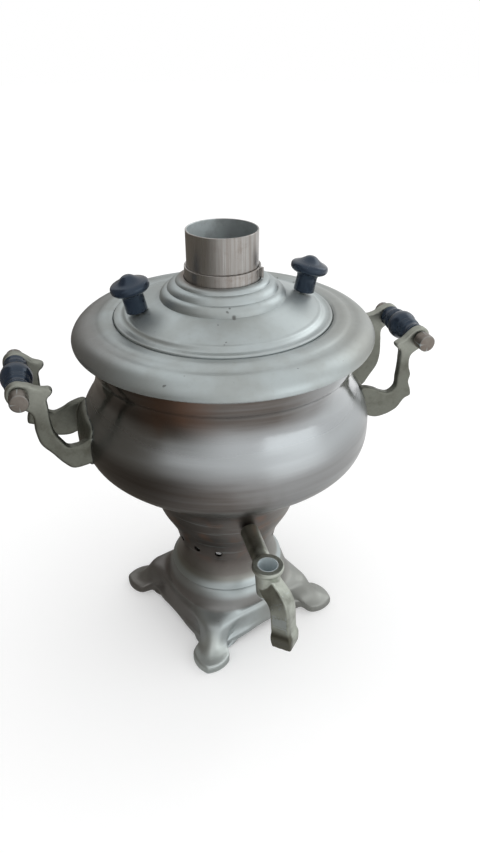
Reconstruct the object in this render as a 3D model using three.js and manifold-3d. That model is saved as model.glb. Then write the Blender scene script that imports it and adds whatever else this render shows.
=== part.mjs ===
// A small charcoal samovar with an urn-shaped body, a square foot and a lift-off lid, in millimetres, +Z up.
// The tap points along -Y and the two handles lie along X. The floor is z = 0, and the origin is midway
// between the tip of the spout and the back of the brim, so the urn's own axis lies a little behind it.
import * as THREE from "three";
import { mergeVertices } from "three/addons/utils/BufferGeometryUtils.js";
import Module from "manifold-3d";

const wasm = await Module();
wasm.setup();
const { Manifold, Mesh } = wasm;

// Driving dimensions: fits and faces
const fit_gap = 0.3; // between two pieces that touch
const overrun = 1; // how far a cutter passes the face it opens
const round_sides = 32; // facets of the large turned pieces
const tube_sides = 16; // facets of the tubes, the grips and the knobs
const pin_sides = 8; // facets of the screws, rivets and small holes

// Driving dimensions: the square foot
const pad_side = 14.5;
const pad_corner = 4;
const pad_height = 3.9;
const pad_spread = 47.8; // from the axis to the middle of a pad
const plinth_half = 33.8; // half the foot's width at the lower edge of its sides
const plinth_top_half = 31.6;
const plinth_corner = 6.5;
const plinth_clearance = 4.9; // from the floor to the lower edge of the sides
const plinth_top = 17.6;
const ankle_half = 5.9;
const foot_wall = 2;
const foot_turn = 18.4; // degrees that the foot stands turned under the body
const base_height = 28.8; // top of the foot's round step, where the neck stands
const step_radius = 29.8;
const step_base_radius = 31.9;
const flange_hole_radius = 16.6;

// Driving dimensions: the neck and its flare
const neck_foot_radius = 25.6;
const waist_radius = 24.5;
const neck_wall = 2.2;
const flare_wall = 1.3;
const neck_flange_thickness = 2;
const skirt_height = 61; // from the foot to the seam under the bowl
const seam_radius = 46.8;
const air_hole_radius = 1.9;
const air_hole_height = 20.4; // above the neck's foot
const air_hole_count = 14;
const rivet_count = 4;
const rivet_radius = 1.1;
const rivet_head_radius = 1.9;
const rivet_head_height = 0.9;

// Driving dimensions: the bowl and its brim
const bowl_height = 72; // from the seam to the bowl's top edge
const bowl_radius = 66.1;
const mouth_inset = 6.9; // from the widest line in to the mouth under the brim
const bowl_wall = 1.2;
const brim_overhang = 6.2; // from the mouth out to the brim's rim
const brim_height = 10; // from the rolled edge up to the top of the ring
const brim_sheet = 1.2;
const ledge_width = 4.6; // the ledge inside the brim that carries the lid
const ledge_drop = 2.5;
const seat_collar_length = 6;

// Driving dimensions: the fire tube
const chimney_radius = 15.1;
const chimney_wall = 0.7;
const chimney_rise = 35.3; // above the top of the brim
const firebox_radius = 19.4;
const firebox_drop = 8.3; // from the water floor to the foot of the tube
const firebox_straight = 12;
const firebox_taper = 48;
const water_floor_height = 30; // above the neck's foot
const water_floor_thickness = 1.2;
const grate_thickness = 1.4;
const grate_lip = 2;
const grate_slot_width = 2.4;
const grate_slots = 5;

// Driving dimensions: the lid
const lid_inset = 12.3; // from the bowl's mouth in to the lid's edge
const lid_sheet = 1.1;
const lid_edge_height = 4;
const lid_bead_width = 3.2; // the rolled bead at the lid's edge
const lid_rise = 17.9; // from the lid's seat to its collar's foot
const dome_radius = 27.2;
const dome_rise = 9.5; // from the lid's seat to the crease round the stepped dome
const lid_hole_radius = 16.5;
const collar_radius = 16.1;
const collar_wall = 0.6;
const collar_height = 4.8; // above the lid
const collar_flange = 3;
const lap_width = 1.5;
const lap_depth = 1.5;
const lap_turn = 33; // degrees from +X towards -Y
const knob_place_share = 0.588; // of the way down the lid's cone
const knob_tilt = 12; // degrees outwards
const knob_head_radius = 8.2;
const knob_stem_radius = 4.3;
const knob_height = 15.8;
const knob_screw_radius = 1.4;
const knob_screw_length = 8;

// Driving dimensions: the handles
const grip_stand_off = 23; // from the bowl's widest line out to the rod
const grip_rise = 31.04; // from the middle of the flange up to the rod
const flange_place_share = 0.3675; // of the bowl's height, up to the middle of the flange
const grip_length = 24.4;
const grip_ball_radius = 6.7;
const grip_end_radius = 5.5;
const grip_notch_radius = 4.1;
const rod_radius = 2.2;
const rod_head_radius = 3.9;
const rod_head_length = 6;
const rod_nut_length = 3.4;
const arm_thickness = 4;
const arm_edge = 0.6; // the worn edge of the casting
const arm_spread = 15; // from the middle plane to the middle of an arm, at the rod
const arm_foot_spread = 12.2; // the same, where the arm meets the bowl
const arm_head_radius = 5.2;
const arm_head_points = 6;
const arm_drop_share = 1.25; // of the grip's rise, from the rod down to the lowest edge of the arm
const arm_overlap = 3.4; // how far an arm runs on past the bowl's widest line
const flange_half_width = 15.6;
const flange_thickness = 2.2;
const flange_height = 20;
const yoke_screw_radius = 1.2;
const yoke_screw_head_radius = 2.4;
const yoke_screw_head_height = 1.3;
const yoke_screw_pitch = 9;

// Driving dimensions: the tap
const tap_height = 69.5; // the tail's middle line, where it meets the barrel's axis
const tap_reach = 62.4; // from the urn's axis to the barrel
const tail_slope = 8; // degrees down from the body to the barrel
const barrel_top = 74.7;
const barrel_length = 17.8;
const barrel_radius = 5.8;
const barrel_foot_radius = 4.8;
const barrel_ring_radius = 7.05;
const barrel_ring_height = 2;
const socket_radius = 4.1;
const socket_foot_radius = 3.2;
const tail_radius = 3.7;
const tail_stub_radius = 2.6;
const tail_bore_radius = 1.6;
const shoulder_reach = 37.3; // from the urn's axis to the shoulder of the tail
const spout_turn = 18; // degrees that the spout stands turned on the barrel, towards +X
const spout_throw = 19.9; // from the barrel's axis to the front edge of the tip
const spout_shoulder = 67.1; // height of the spout's back where it leaves the barrel
const spout_tip_height = 39.8;
const spout_across = 11.2; // from side edge to side edge of the square section
const spout_edge_flat = 0.9;
const spout_bead = 0.8; // how far the lip stands out
const spout_bore_radius = 2;
const tap_nut_flats = 8.6;
const tap_nut_thickness = 3;
const tap_washer_radius = 4.4;
const tap_washer_thickness = 1;

// Worked-out levels
const radians = Math.PI / 180;
const neck_foot = base_height + fit_gap;
const seam_level = neck_foot + skirt_height;
const bowl_foot = seam_level + fit_gap;
const bowl_top = bowl_foot + bowl_height;
const brim_top = bowl_top + fit_gap + brim_sheet + ledge_drop;
const bowl_mouth_radius = bowl_radius - mouth_inset;
const brim_radius = bowl_mouth_radius + brim_overhang;
const lid_radius = bowl_mouth_radius - lid_inset;
const lid_cone_foot = lid_radius - lid_bead_width;
const knob_place = dome_radius + knob_place_share * (lid_cone_foot - dome_radius);
const brim_inner_radius = lid_radius + fit_gap + 0.3 * fit_gap;
const ledge_level = brim_top - ledge_drop;
const lid_seat = ledge_level + fit_gap;
const collar_foot = lid_seat + lid_rise;
const chimney_top = brim_top + chimney_rise;
const water_floor = neck_foot + water_floor_height;
const firebox_foot = water_floor - firebox_drop;
const grip_axis_reach = bowl_radius + grip_stand_off;
const flange_middle = bowl_foot + flange_place_share * bowl_height;
const grip_axis_height = flange_middle + grip_rise;
const arm_drop = arm_drop_share * grip_rise;
const arm_span = grip_stand_off + arm_overlap;
const spout_reach = tap_reach + spout_throw * Math.cos(spout_turn * radians);
const axis_shift = (spout_reach - bowl_radius) / 2;

// Finishes, as seen in daylight
const finish = {
  satin: { color: 0x9a9a94, roughness: 0.42, metalness: 0.9 },
  plated: { color: 0x77726c, roughness: 0.25, metalness: 0.95 },
  brushed: { color: 0xa39d97, roughness: 0.38, metalness: 0.95 },
  cast: { color: 0x8b8d82, roughness: 0.55, metalness: 0.85 },
  plastic: { color: 0x171c26, roughness: 0.3, metalness: 0 },
  copper: { color: 0x8a7468, roughness: 0.45, metalness: 0.9 },
  fibre: { color: 0x3a332c, roughness: 0.9, metalness: 0 },
};

// A closed geometry as a solid: its shared vertices merged, and its faces turned outwards.
function solid(geometry) {
  const bare = geometry.clone();
  bare.deleteAttribute("normal");
  bare.deleteAttribute("uv");
  const merged = mergeVertices(bare, fit_gap / 1000);
  const vertProperties = new Float32Array(merged.attributes.position.array);
  const triVerts = new Uint32Array(merged.index.array);
  const made = new Manifold(new Mesh({ numProp: 3, vertProperties, triVerts }));
  if (made.volume() > 0) return made;
  for (let i = 0; i < triVerts.length; i += 3) {
    [triVerts[i + 1], triVerts[i + 2]] = [triVerts[i + 2], triVerts[i + 1]];
  }
  return new Manifold(new Mesh({ numProp: 3, vertProperties, triVerts }));
}

// A solid back as a geometry that a mesh can show.
function geometryOf(made) {
  const mesh = made.getMesh();
  const geometry = new THREE.BufferGeometry();
  const places = new THREE.BufferAttribute(new Float32Array(mesh.vertProperties), 3);
  geometry.setAttribute("position", places);
  geometry.setIndex(new THREE.BufferAttribute(new Uint32Array(mesh.triVerts), 1));
  geometry.computeVertexNormals();
  return geometry;
}

const join = (first, ...others) => others.reduce((all, next) => all.add(next), first);
const cut = (first, ...others) => others.reduce((left, next) => left.subtract(next), first);

// A profile of [radius, height] points turned about Z. A profile off the axis closes on itself.
function turned(profile, sides = round_sides) {
  const points = profile.map(([radius, height]) => new THREE.Vector2(radius, height));
  const onAxis = profile[0][0] === 0 && profile[profile.length - 1][0] === 0;
  if (!onAxis) points.push(points[0].clone());
  const geometry = new THREE.LatheGeometry(points, sides);
  return solid(geometry.rotateX(Math.PI / 2));
}

// A round bar from one point to another.
function bar(from, to, radius, sides = pin_sides, endRadius = radius) {
  const start = new THREE.Vector3(...from);
  const end = new THREE.Vector3(...to);
  const geometry = new THREE.CylinderGeometry(endRadius, radius, start.distanceTo(end), sides);
  const up = new THREE.Vector3(0, 1, 0);
  const along = end.clone().sub(start).normalize();
  geometry.applyQuaternion(new THREE.Quaternion().setFromUnitVectors(up, along));
  const middle = start.add(end).multiplyScalar(0.5);
  return solid(geometry.translate(middle.x, middle.y, middle.z));
}

// The inner line of a shell of revolution: the ends and every third point, moved in by the wall.
function insideOf(outer, wall) {
  const last = outer.length - 1;
  const inner = outer.map(([radius, height]) => [radius - wall, height]);
  return inner.filter((_, i) => i === 0 || i >= last - 1 || (i > 3 && i % 3 === 1));
}

// Rings of points, each joined to the next and the last to the first, as one closed surface.
function ringed(rings) {
  const count = rings[0].length;
  const places = rings.flat(2);
  const index = [];
  rings.forEach((_, i) => {
    const next = (i + 1) % rings.length;
    for (let k = 0; k < count; k += 1) {
      const m = (k + 1) % count;
      index.push(i * count + k, next * count + k, i * count + m);
      index.push(i * count + m, next * count + k, next * count + m);
    }
  });
  const geometry = new THREE.BufferGeometry();
  geometry.setAttribute("position", new THREE.Float32BufferAttribute(places, 3));
  geometry.setIndex(index);
  return solid(geometry);
}

// A vertical extrusion of an outline of [x, y] points between two heights.
function prism(outline, low, high) {
  const shape = new THREE.Shape(outline.map(([x, y]) => new THREE.Vector2(x, y)));
  const geometry = new THREE.ExtrudeGeometry(shape, { depth: high - low, bevelEnabled: false });
  return solid(geometry.translate(0, 0, low));
}

// The square foot. Each ring follows one outline of the quarter from the middle of a leg to the
// middle of a side, mirrored and repeated. Round and square rings share the angles of that outline.
const ring_angle_shares = [0, 0.1, 0.2, 0.28, 0.38, 0.62, 1];
const eighth = Math.PI / 4;
const pad_reach = pad_spread + (pad_side / 2) * Math.SQRT2 - pad_corner * (Math.SQRT2 - 1);
const pad_half_diagonal = pad_reach - pad_spread;

// The foot's outline in shares: [along the diagonal from ankle to tip, across in half diagonals].
const ankle_place = pad_spread - pad_half_diagonal * 0.66;
const pad_outline_shares = [[1, 0], [0.84, 0.4], [0.36, 0.9], [-0.1, 1]];

// One eighth of the outline at the floor, as [along the leg's diagonal, across it] points.
function footOutline() {
  const pad = pad_outline_shares.map(([along, across]) => [
    pad_spread + along * pad_half_diagonal,
    across * pad_half_diagonal,
  ]);
  const ankle = [ankle_place, ankle_half];
  const side = ring_angle_shares.slice(-2).map((share) => {
    const turn = share * eighth;
    const reach = plinth_half / Math.cos(eighth - turn);
    return [reach * Math.cos(turn), reach * Math.sin(turn)];
  });
  return [...pad, ankle, ...side];
}

// How much each point of the outline belongs to the leg: 1 on the pad, 0 on the side.
const leg_shares = [1, 1, 1, 1, 1, 0.2, 0];

// The distance from the axis to a rounded square, at an angle from its corner.
function squareReach(half, corner, turn) {
  const fromSide = eighth - turn;
  const flat = half / Math.cos(fromSide);
  if (flat * Math.sin(fromSide) <= half - corner) return flat;
  const centre = half - corner;
  const across = centre * (Math.cos(fromSide) - Math.sin(fromSide));
  return centre * (Math.cos(fromSide) + Math.sin(fromSide)) + Math.sqrt(corner ** 2 - across ** 2);
}

// A whole ring from one eighth: [along, across, height] points, mirrored and set at four corners.
function wholeRing(points) {
  const mirrored = points.slice(1, -1).reverse();
  const quarter = [...points, ...mirrored.map(([along, across, z]) => [along, -across, z])];
  const ring = [];
  for (let corner = 0; corner < 4; corner += 1) {
    const first = (2 * corner + 1) * eighth;
    quarter.forEach(([along, across, z], i) => {
      const turn = i < points.length ? first : first + Math.PI / 2;
      const x = along * Math.cos(turn) - across * Math.sin(turn);
      const y = along * Math.sin(turn) + across * Math.cos(turn);
      ring.push([x, y, z]);
    });
  }
  return ring;
}

const roundRing = (radius, z) =>
  wholeRing(ring_angle_shares.map((share) => {
    const turn = share * eighth;
    return [radius * Math.cos(turn), radius * Math.sin(turn), z];
  }));

const squareRing = (half, corner, z, legDrop = 0) =>
  wholeRing(ring_angle_shares.map((share, i) => {
    const turn = share * eighth;
    const reach = squareReach(half, corner, turn);
    return [reach * Math.cos(turn), reach * Math.sin(turn), z - legDrop * leg_shares[i]];
  }));

// A ring part of the way from the plate's edge to the outline at the floor.
const legRing = (legShare, sideShare, legHeight, sideHeight) =>
  wholeRing(footOutline().map(([along, across], i) => {
    const turn = ring_angle_shares[i] * eighth;
    const reach = squareReach(plinth_top_half, plinth_corner, turn);
    const share = sideShare + (legShare - sideShare) * leg_shares[i];
    const from = [reach * Math.cos(turn), reach * Math.sin(turn)];
    const height = sideHeight + (legHeight - sideHeight) * leg_shares[i];
    return [from[0] + (along - from[0]) * share, from[1] + (across - from[1]) * share, height];
  }));

// The inner edge of the foot's underside: the flat of each pad, and the wall of each side.
function soleRing() {
  const outline = footOutline();
  const heel = ankle_place - foot_wall / 2;
  return wholeRing(outline.map(([along, across], i) => {
    if (leg_shares[i] === 1) {
      const width = Math.min(across, ankle_half - foot_wall / 2);
      return [heel, width * (i / pad_outline_shares.length), 0];
    }
    const reach = Math.hypot(along, across);
    const inner = (reach - foot_wall * Math.SQRT2) / reach;
    const height = plinth_clearance * (1 - leg_shares[i]);
    return [along * inner, across * inner, height];
  }));
}

function makePlinth() {
  const step_height = base_height - plinth_top;
  const roof = base_height - foot_wall;
  const body = ringed([
    roundRing(flange_hole_radius, base_height),
    roundRing(neck_foot_radius + fit_gap, base_height),
    roundRing(step_radius - 0.06 * step_radius, base_height - 0.1 * step_height),
    roundRing(step_radius, base_height - 0.34 * step_height),
    roundRing(step_base_radius, plinth_top + 0.09 * step_height),
    squareRing(plinth_top_half - 0.3 * pad_corner, plinth_corner, plinth_top),
    squareRing(plinth_top_half, plinth_corner, plinth_top - 0.3 * pad_corner),
    legRing(0.4, 0.4, 0.5 * plinth_top, 0.62 * plinth_top),
    legRing(0.94, 0.9, pad_height, plinth_clearance + 0.12 * plinth_top),
    legRing(1, 1, 0.66 * pad_height, plinth_clearance + 0.06 * plinth_top),
    legRing(1, 1, 0, plinth_clearance),
    soleRing(),
    squareRing(plinth_top_half - 0.35 * foot_wall, plinth_corner, 0.5 * plinth_top, 0.12 * plinth_top),
    squareRing(plinth_top_half - foot_wall, plinth_corner, plinth_top - 1.2 * foot_wall),
    roundRing(step_base_radius - foot_wall, plinth_top - foot_wall / 2),
    roundRing(neck_foot_radius + fit_gap, roof),
    roundRing(flange_hole_radius, roof),
  ]);
  const holes = rivetPlaces().map(([x, y]) =>
    bar([x, y, roof - overrun], [x, y, base_height + overrun], rivet_radius + fit_gap));
  return cut(body, ...holes);
}

// The rivets that hold the neck down on the foot, in the foot's own frame.
const rivet_circle = (flange_hole_radius + waist_radius - neck_wall) / 2;

function rivetPlaces() {
  return Array.from({ length: rivet_count }, (_, i) => {
    const turn = (2 * Math.PI * i) / rivet_count;
    return [rivet_circle * Math.cos(turn), rivet_circle * Math.sin(turn)];
  });
}

function makeRivet([x, y]) {
  const low = base_height - foot_wall - fit_gap;
  const high = neck_foot + neck_flange_thickness + fit_gap;
  const domed = 0.55 * rivet_head_radius;
  return turned([
    [0, low - rivet_head_height],
    [domed, low - rivet_head_height],
    [rivet_head_radius, low - 0.3 * rivet_head_height],
    [rivet_head_radius, low],
    [rivet_radius, low],
    [rivet_radius, high],
    [rivet_head_radius, high],
    [rivet_head_radius, high + 0.3 * rivet_head_height],
    [domed, high + rivet_head_height],
    [0, high + rivet_head_height],
  ], pin_sides).translate([x, y, 0]);
}

// The neck and flare: [share of the way from the waist out to the seam, share of the height].
const skirt_line_shares = [
  [0.055, 0], [0.005, 0.12], [0, 0.22], [0.03, 0.3], [0.1, 0.4], [0.262, 0.525], [0.358, 0.593],
  [0.494, 0.728], [0.652, 0.861], [0.84, 0.945], [1, 1],
];

function skirtLine() {
  return skirt_line_shares.map(([out, up]) => [
    waist_radius + out * (seam_radius - waist_radius),
    neck_foot + up * skirt_height,
  ]);
}

// The outer radius of the neck and flare at a height, read off its line.
const skirtRadius = (height) => radiusAt(skirtLine(), height);

const skirtWall = (i) => (i < 4 ? neck_wall : 1.2 * flare_wall);

function makeSkirt() {
  const line = skirtLine();
  const inner = line.map(([radius, z], i) => [radius - skirtWall(i), z]);
  const flange = [
    [inner[2][0], neck_foot + neck_flange_thickness],
    [flange_hole_radius - fit_gap, neck_foot + neck_flange_thickness],
    [flange_hole_radius - fit_gap, neck_foot],
  ];
  const kept = inner.filter((_, i) => i > 1 && (i % 2 === 0 || i < 5));
  const body = turned([...line, ...kept.reverse(), ...flange]);
  const reach = waist_radius + seam_radius;
  const level = neck_foot + air_hole_height;
  const holes = [];
  for (let i = 1; i < air_hole_count; i += 1) {
    const turn = (2 * Math.PI * i) / air_hole_count;
    const [x, y] = [reach * Math.sin(turn), -reach * Math.cos(turn)];
    holes.push(bar([0, 0, level], [x, y, level], air_hole_radius, pin_sides));
  }
  const stub = tail_stub_radius + fit_gap;
  const tapHole = bar(tailPoint(waist_radius), tailPoint(seam_radius), stub);
  const rivets = rivetPlaces().map(([x, y]) =>
    bar([x, y, neck_foot - overrun], [x, y, neck_foot + neck_flange_thickness + overrun],
      rivet_radius + fit_gap));
  const turnedRivets = rivets.map((hole) => hole.rotate([0, 0, foot_turn]));
  return cut(body, ...holes, tapHole, ...turnedRivets);
}

// The bowl up to its widest line: [share of the way out from the seam, share of the height].
const bowl_belly_shares = [
  [0.01, 0], [0.05, 0.014], [0.05, 0.026], [0.206, 0.049], [0.476, 0.107], [0.72, 0.163],
  [0.895, 0.219], [0.98, 0.28], [1, 0.35],
];

// The bowl above it: [share of the way out from the mouth, share of the height].
const bowl_throat_shares = [
  [0.958, 0.41], [0.603, 0.491], [0.161, 0.56], [-0.186, 0.645], [-0.287, 0.706], [-0.232, 0.76],
  [-0.035, 0.814], [0, 1],
];

// The bowl's outer line, moved out by a gap.
function bowlLine(gap = 0) {
  const belly = bowl_belly_shares.map(([out, up]) =>
    [seam_radius + out * (bowl_radius - seam_radius), up]);
  const throat = bowl_throat_shares.map(([out, up]) =>
    [bowl_mouth_radius + out * (bowl_radius - bowl_mouth_radius), up]);
  return [...belly, ...throat].map(([radius, up]) => [radius + gap, bowl_foot + up * bowl_height]);
}

function makeBowl() {
  const line = bowlLine();
  const body = turned([...line, ...insideOf(line, bowl_wall).reverse()]);
  const holes = [];
  for (const side of [-1, 1]) {
    for (const z of yokeScrewHeights()) {
      const from = [side * (bowlInsideAt(z) - yoke_screw_head_height), 0, z];
      const to = [side * (bowl_radius + overrun), 0, z];
      holes.push(bar(from, to, yoke_screw_radius + fit_gap));
    }
  }
  return cut(body, ...holes);
}

// The brim: [share of the way from the lid's edge out to the rim, share of the height].
const brim_line_shares = [
  [0, 0.95], [0.08, 1], [0.24, 1], [0.45, 0.855], [0.64, 0.84], [0.88, 0.59], [0.98, 0.34],
  [1, 0.2], [0.91, 0],
];

function makeBrim() {
  const width = brim_radius - brim_inner_radius;
  const low = brim_top - brim_height;
  const top = brim_line_shares.map(([out, up]) => [
    brim_inner_radius + out * width,
    low + up * brim_height,
  ]);
  const collarRadius = bowl_mouth_radius - bowl_wall - 2 * fit_gap;
  const under = ledge_level - brim_sheet;
  return turned([
    [brim_inner_radius - ledge_width, ledge_level],
    [brim_inner_radius, ledge_level],
    ...top,
    [brim_radius - 2 * brim_sheet, low + 0.2 * brim_height],
    [bowl_mouth_radius + 2 * brim_sheet, under - 0.5 * brim_sheet],
    [bowl_mouth_radius + fit_gap, under],
    [collarRadius, under],
    [collarRadius, under - seat_collar_length],
    [collarRadius - brim_sheet, under - seat_collar_length],
    [collarRadius - brim_sheet, under],
    [brim_inner_radius - ledge_width, under],
  ]);
}

// The fire tube: a wide firebox at its foot, narrowing to the chimney that stands out of the lid.
function makeFireTube() {
  const straight = firebox_foot + firebox_straight;
  const slim = straight + firebox_taper;
  const lip = grate_lip + chimney_wall;
  return turned([
    [firebox_radius, firebox_foot],
    [firebox_radius, straight],
    [chimney_radius + 0.38 * (firebox_radius - chimney_radius), straight + 0.5 * firebox_taper],
    [chimney_radius, slim],
    [chimney_radius, chimney_top],
    [chimney_radius - chimney_wall, chimney_top],
    [chimney_radius - chimney_wall, slim],
    [chimney_radius - chimney_wall + 0.38 * (firebox_radius - chimney_radius),
      straight + 0.5 * firebox_taper],
    [firebox_radius - chimney_wall, straight],
    [firebox_radius - chimney_wall, firebox_foot + grate_lip / 2],
    [firebox_radius - lip, firebox_foot + grate_lip / 2],
    [firebox_radius - lip, firebox_foot],
  ], tube_sides);
}

// The ring that closes the water space between the flare and the firebox.
function makeWaterFloor() {
  const outer = skirtRadius(water_floor) - flare_wall * 1.2 - fit_gap;
  const inner = firebox_radius + fit_gap;
  const upturn = water_floor_thickness;
  return turned([
    [inner, water_floor],
    [outer, water_floor],
    [outer, water_floor + water_floor_thickness],
    [inner + upturn, water_floor + water_floor_thickness],
    [inner + upturn, water_floor + 3 * water_floor_thickness],
    [inner, water_floor + 3 * water_floor_thickness],
  ]);
}

// The round grate on the lip inside the firebox, with straight slots.
function makeGrate() {
  const radius = firebox_radius - chimney_wall - fit_gap;
  const low = firebox_foot + grate_lip / 2 + fit_gap;
  const disc = turned([[0, low], [radius, low], [radius, low + grate_thickness],
    [0, low + grate_thickness]], tube_sides);
  const pitch = (2 * radius) / (grate_slots + 1);
  const slots = Array.from({ length: grate_slots }, (_, i) => {
    const y = (i + 1) * pitch - radius;
    const half = Math.sqrt(radius ** 2 - y ** 2) - grate_lip - grate_slot_width;
    const edge = grate_slot_width / 2;
    const outline = [[-half, y - edge], [half, y - edge], [half, y + edge], [-half, y + edge]];
    return prism(outline, low - overrun, low + grate_thickness + overrun);
  });
  return cut(disc, ...slots);
}

// The lid's steps: [share of the way from the hole to the dome's edge, share of the dome's rise].
const dome_line_shares = [
  [0, 1], [0.2, 0.97], [0.33, 0.84], [0.38, 0.71], [0.6, 0.64], [0.69, 0.42], [0.86, 0.36],
  [1, 0],
];

// The lid's edge: [share of the way from the foot of the cone to the rim, share of the edge].
const lid_edge_shares = [[0, 0.84], [0.4, 1.02], [0.85, 0.94], [1, 0.68]];

function lidLine() {
  const crease = lid_seat + dome_rise;
  const steps = dome_line_shares.map(([out, up]) => [
    lid_hole_radius + out * (dome_radius - lid_hole_radius),
    crease + up * (lid_rise - dome_rise),
  ]);
  const edge = lid_edge_shares.map(([out, up]) => [
    lid_cone_foot + out * (lid_radius - lid_cone_foot),
    lid_seat + up * lid_edge_height,
  ]);
  return [...steps, ...edge];
}

// How far the lid's cone falls for each step outwards, and its height at a radius.
const lid_fall = (dome_rise - lid_edge_shares[0][1] * lid_edge_height) / (lid_cone_foot - dome_radius);
const lidHeight = (radius) => lid_seat + dome_rise - lid_fall * (radius - dome_radius);

function makeLid() {
  const line = lidLine();
  const inner = [
    [lid_radius - lid_sheet, lid_seat],
    [lid_radius - lid_sheet, lid_seat + 0.6 * lid_edge_height],
    [dome_radius - 0.4 * lid_sheet, lid_seat + dome_rise - lid_sheet],
    [lid_hole_radius + 0.64 * (dome_radius - lid_hole_radius) - lid_sheet,
      lid_seat + dome_rise + 0.42 * (lid_rise - dome_rise)],
    [lid_hole_radius + 0.25 * (dome_radius - lid_hole_radius), lid_seat + lid_rise - 2 * lid_sheet],
    [lid_hole_radius, lid_seat + lid_rise - lid_sheet],
  ];
  const body = turned([...line, [lid_radius, lid_seat], ...inner]);
  const holes = [-1, 1].map((side) => {
    const [foot, up] = knobAxis(side);
    const from = foot.clone().addScaledVector(up, -3 * lid_sheet - overrun);
    const to = foot.clone().addScaledVector(up, knob_stem_radius);
    return bar(from.toArray(), to.toArray(), knob_screw_radius + fit_gap);
  });
  return cut(body, ...holes);
}

// A knob's foot on the lid's cone, and the direction that it points in.
function knobAxis(side) {
  const tilt = side * knob_tilt * radians;
  const up = new THREE.Vector3(Math.sin(tilt), 0, Math.cos(tilt));
  const foot = new THREE.Vector3(side * knob_place, 0, lidHeight(knob_place));
  return [foot, up];
}

// A piece made upright on the origin, moved onto a knob's axis at a distance above its foot.
function onKnobAxis(piece, side, rise) {
  const [foot, up] = knobAxis(side);
  const place = foot.addScaledVector(up, rise);
  return piece.rotate([0, side * knob_tilt, 0]).translate(place.toArray());
}

// The mushroom knob: [share of the head's radius, share of the height].
const knob_head_shares = [
  [0.62, 0.58], [0.94, 0.67], [1, 0.73], [0.84, 0.83], [0.5, 0.955], [0.34, 0.99], [0, 1],
];

function makeKnob(side) {
  const slant = knob_stem_radius * Math.tan(Math.atan(lid_fall) - knob_tilt * radians);
  const head = knob_head_shares.map(([out, up]) => [out * knob_head_radius, up * knob_height]);
  const stem = [[0, 0], [knob_stem_radius, 0], [knob_stem_radius, 0.5 * knob_height]];
  const body = turned([...stem, ...head], tube_sides);
  const hole = bar([0, 0, -overrun], [0, 0, knob_screw_length + fit_gap], knob_screw_radius + fit_gap);
  return onKnobAxis(cut(body, hole), side, Math.max(slant, 0) + fit_gap);
}

// The screw that holds a knob from under the lid.
function makeKnobScrew(side) {
  const head = 2 * knob_screw_radius;
  const reach = knob_screw_length;
  const thick = lid_sheet;
  const under = 3 * lid_sheet + fit_gap;
  const body = turned([
    [0, -under - thick],
    [0.7 * head, -under - thick],
    [head, -under - 0.4 * thick],
    [head, -under],
    [knob_screw_radius, -under],
    [knob_screw_radius, reach - fit_gap],
    [0, reach],
  ], pin_sides);
  return onKnobAxis(body, side, 0);
}

// The collar round the chimney: a rolled band with a flange under the lid and a standing lap seam.
function makeCollar() {
  const inner = collar_radius - collar_wall;
  const top = collar_foot + collar_height;
  const seat = collar_foot - 2 * lid_sheet - fit_gap;
  const body = turned([
    [inner, seat - collar_wall],
    [collar_radius + collar_flange, seat - collar_wall],
    [collar_radius + collar_flange, seat],
    [collar_radius, seat],
    [collar_radius, top],
    [inner, top],
  ]);
  const half = lap_width / 2;
  const from = collar_radius - collar_wall / 2;
  const to = collar_radius + lap_depth;
  const outline = [[from, -half], [to - half, -half], [to, -half / 2], [to, half / 2],
    [to - half, half], [from, half]];
  const lap = prism(outline, collar_foot + 2 * fit_gap, top).rotate([0, 0, -lap_turn]);
  return join(body, lap);
}

// The handle arm in its own plane: u runs from the rod in towards the bowl, as shares of the span,
// and v runs up from the rod, as shares of the drop.
const arm_crest_shares = [[0.132, 0.1], [0.25, 0.04], [0.426, 0.012], [0.45, -0.02], [0.368, -0.1]];
const arm_inner_shares = [[0.331, -0.24], [0.341, -0.48], [0.36, -0.625], [0.456, -0.665],
  [0.618, -0.63], [1, -0.6]];
const arm_outer_shares = [[1, -0.99], [0.706, -1], [0.471, -0.985], [0.272, -0.92], [0.132, -0.805],
  [0.015, -0.745], [0.082, -0.51], [0.079, -0.43], [0.118, -0.23]];

function armOutline() {
  const scaled = ([u, v]) => [u * arm_span, v * arm_drop];
  const head = Array.from({ length: arm_head_points }, (_, i) => {
    const turn = (205 - (i * 145) / (arm_head_points - 1)) * radians;
    return [arm_head_radius * Math.cos(turn), arm_head_radius * Math.sin(turn)];
  });
  return [...head, ...arm_crest_shares.map(scaled), ...arm_inner_shares.map(scaled),
    ...arm_outer_shares.map(scaled)];
}

// How far an arm has moved in from its place at the rod towards its place at the bowl, by height.
function armLean(v) {
  const share = Math.min(Math.max((-v / arm_drop - 0.4) / 0.42, 0), 1);
  return share * share * (3 - 2 * share);
}

function makeArm(end) {
  const shape = new THREE.Shape(armOutline().map(([u, v]) => new THREE.Vector2(u, v)));
  const geometry = new THREE.ExtrudeGeometry(shape, {
    depth: arm_thickness - 2 * arm_edge,
    bevelEnabled: true,
    bevelThickness: arm_edge,
    bevelSize: arm_edge,
    bevelOffset: -arm_edge,
    bevelSegments: 1,
  });
  const place = geometry.attributes.position;
  for (let i = 0; i < place.count; i += 1) {
    const [u, v] = [place.getX(i), place.getY(i)];
    const w = place.getZ(i) - (arm_thickness - 2 * arm_edge) / 2;
    const middle = arm_spread + (arm_foot_spread - arm_spread) * armLean(v);
    place.setXYZ(i, grip_axis_reach - u, end * (middle + w), grip_axis_height + v);
  }
  return solid(geometry);
}

const yokeScrewHeights = () => [-0.5, 0.5].map((share) => flange_middle + share * yoke_screw_pitch);

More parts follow.
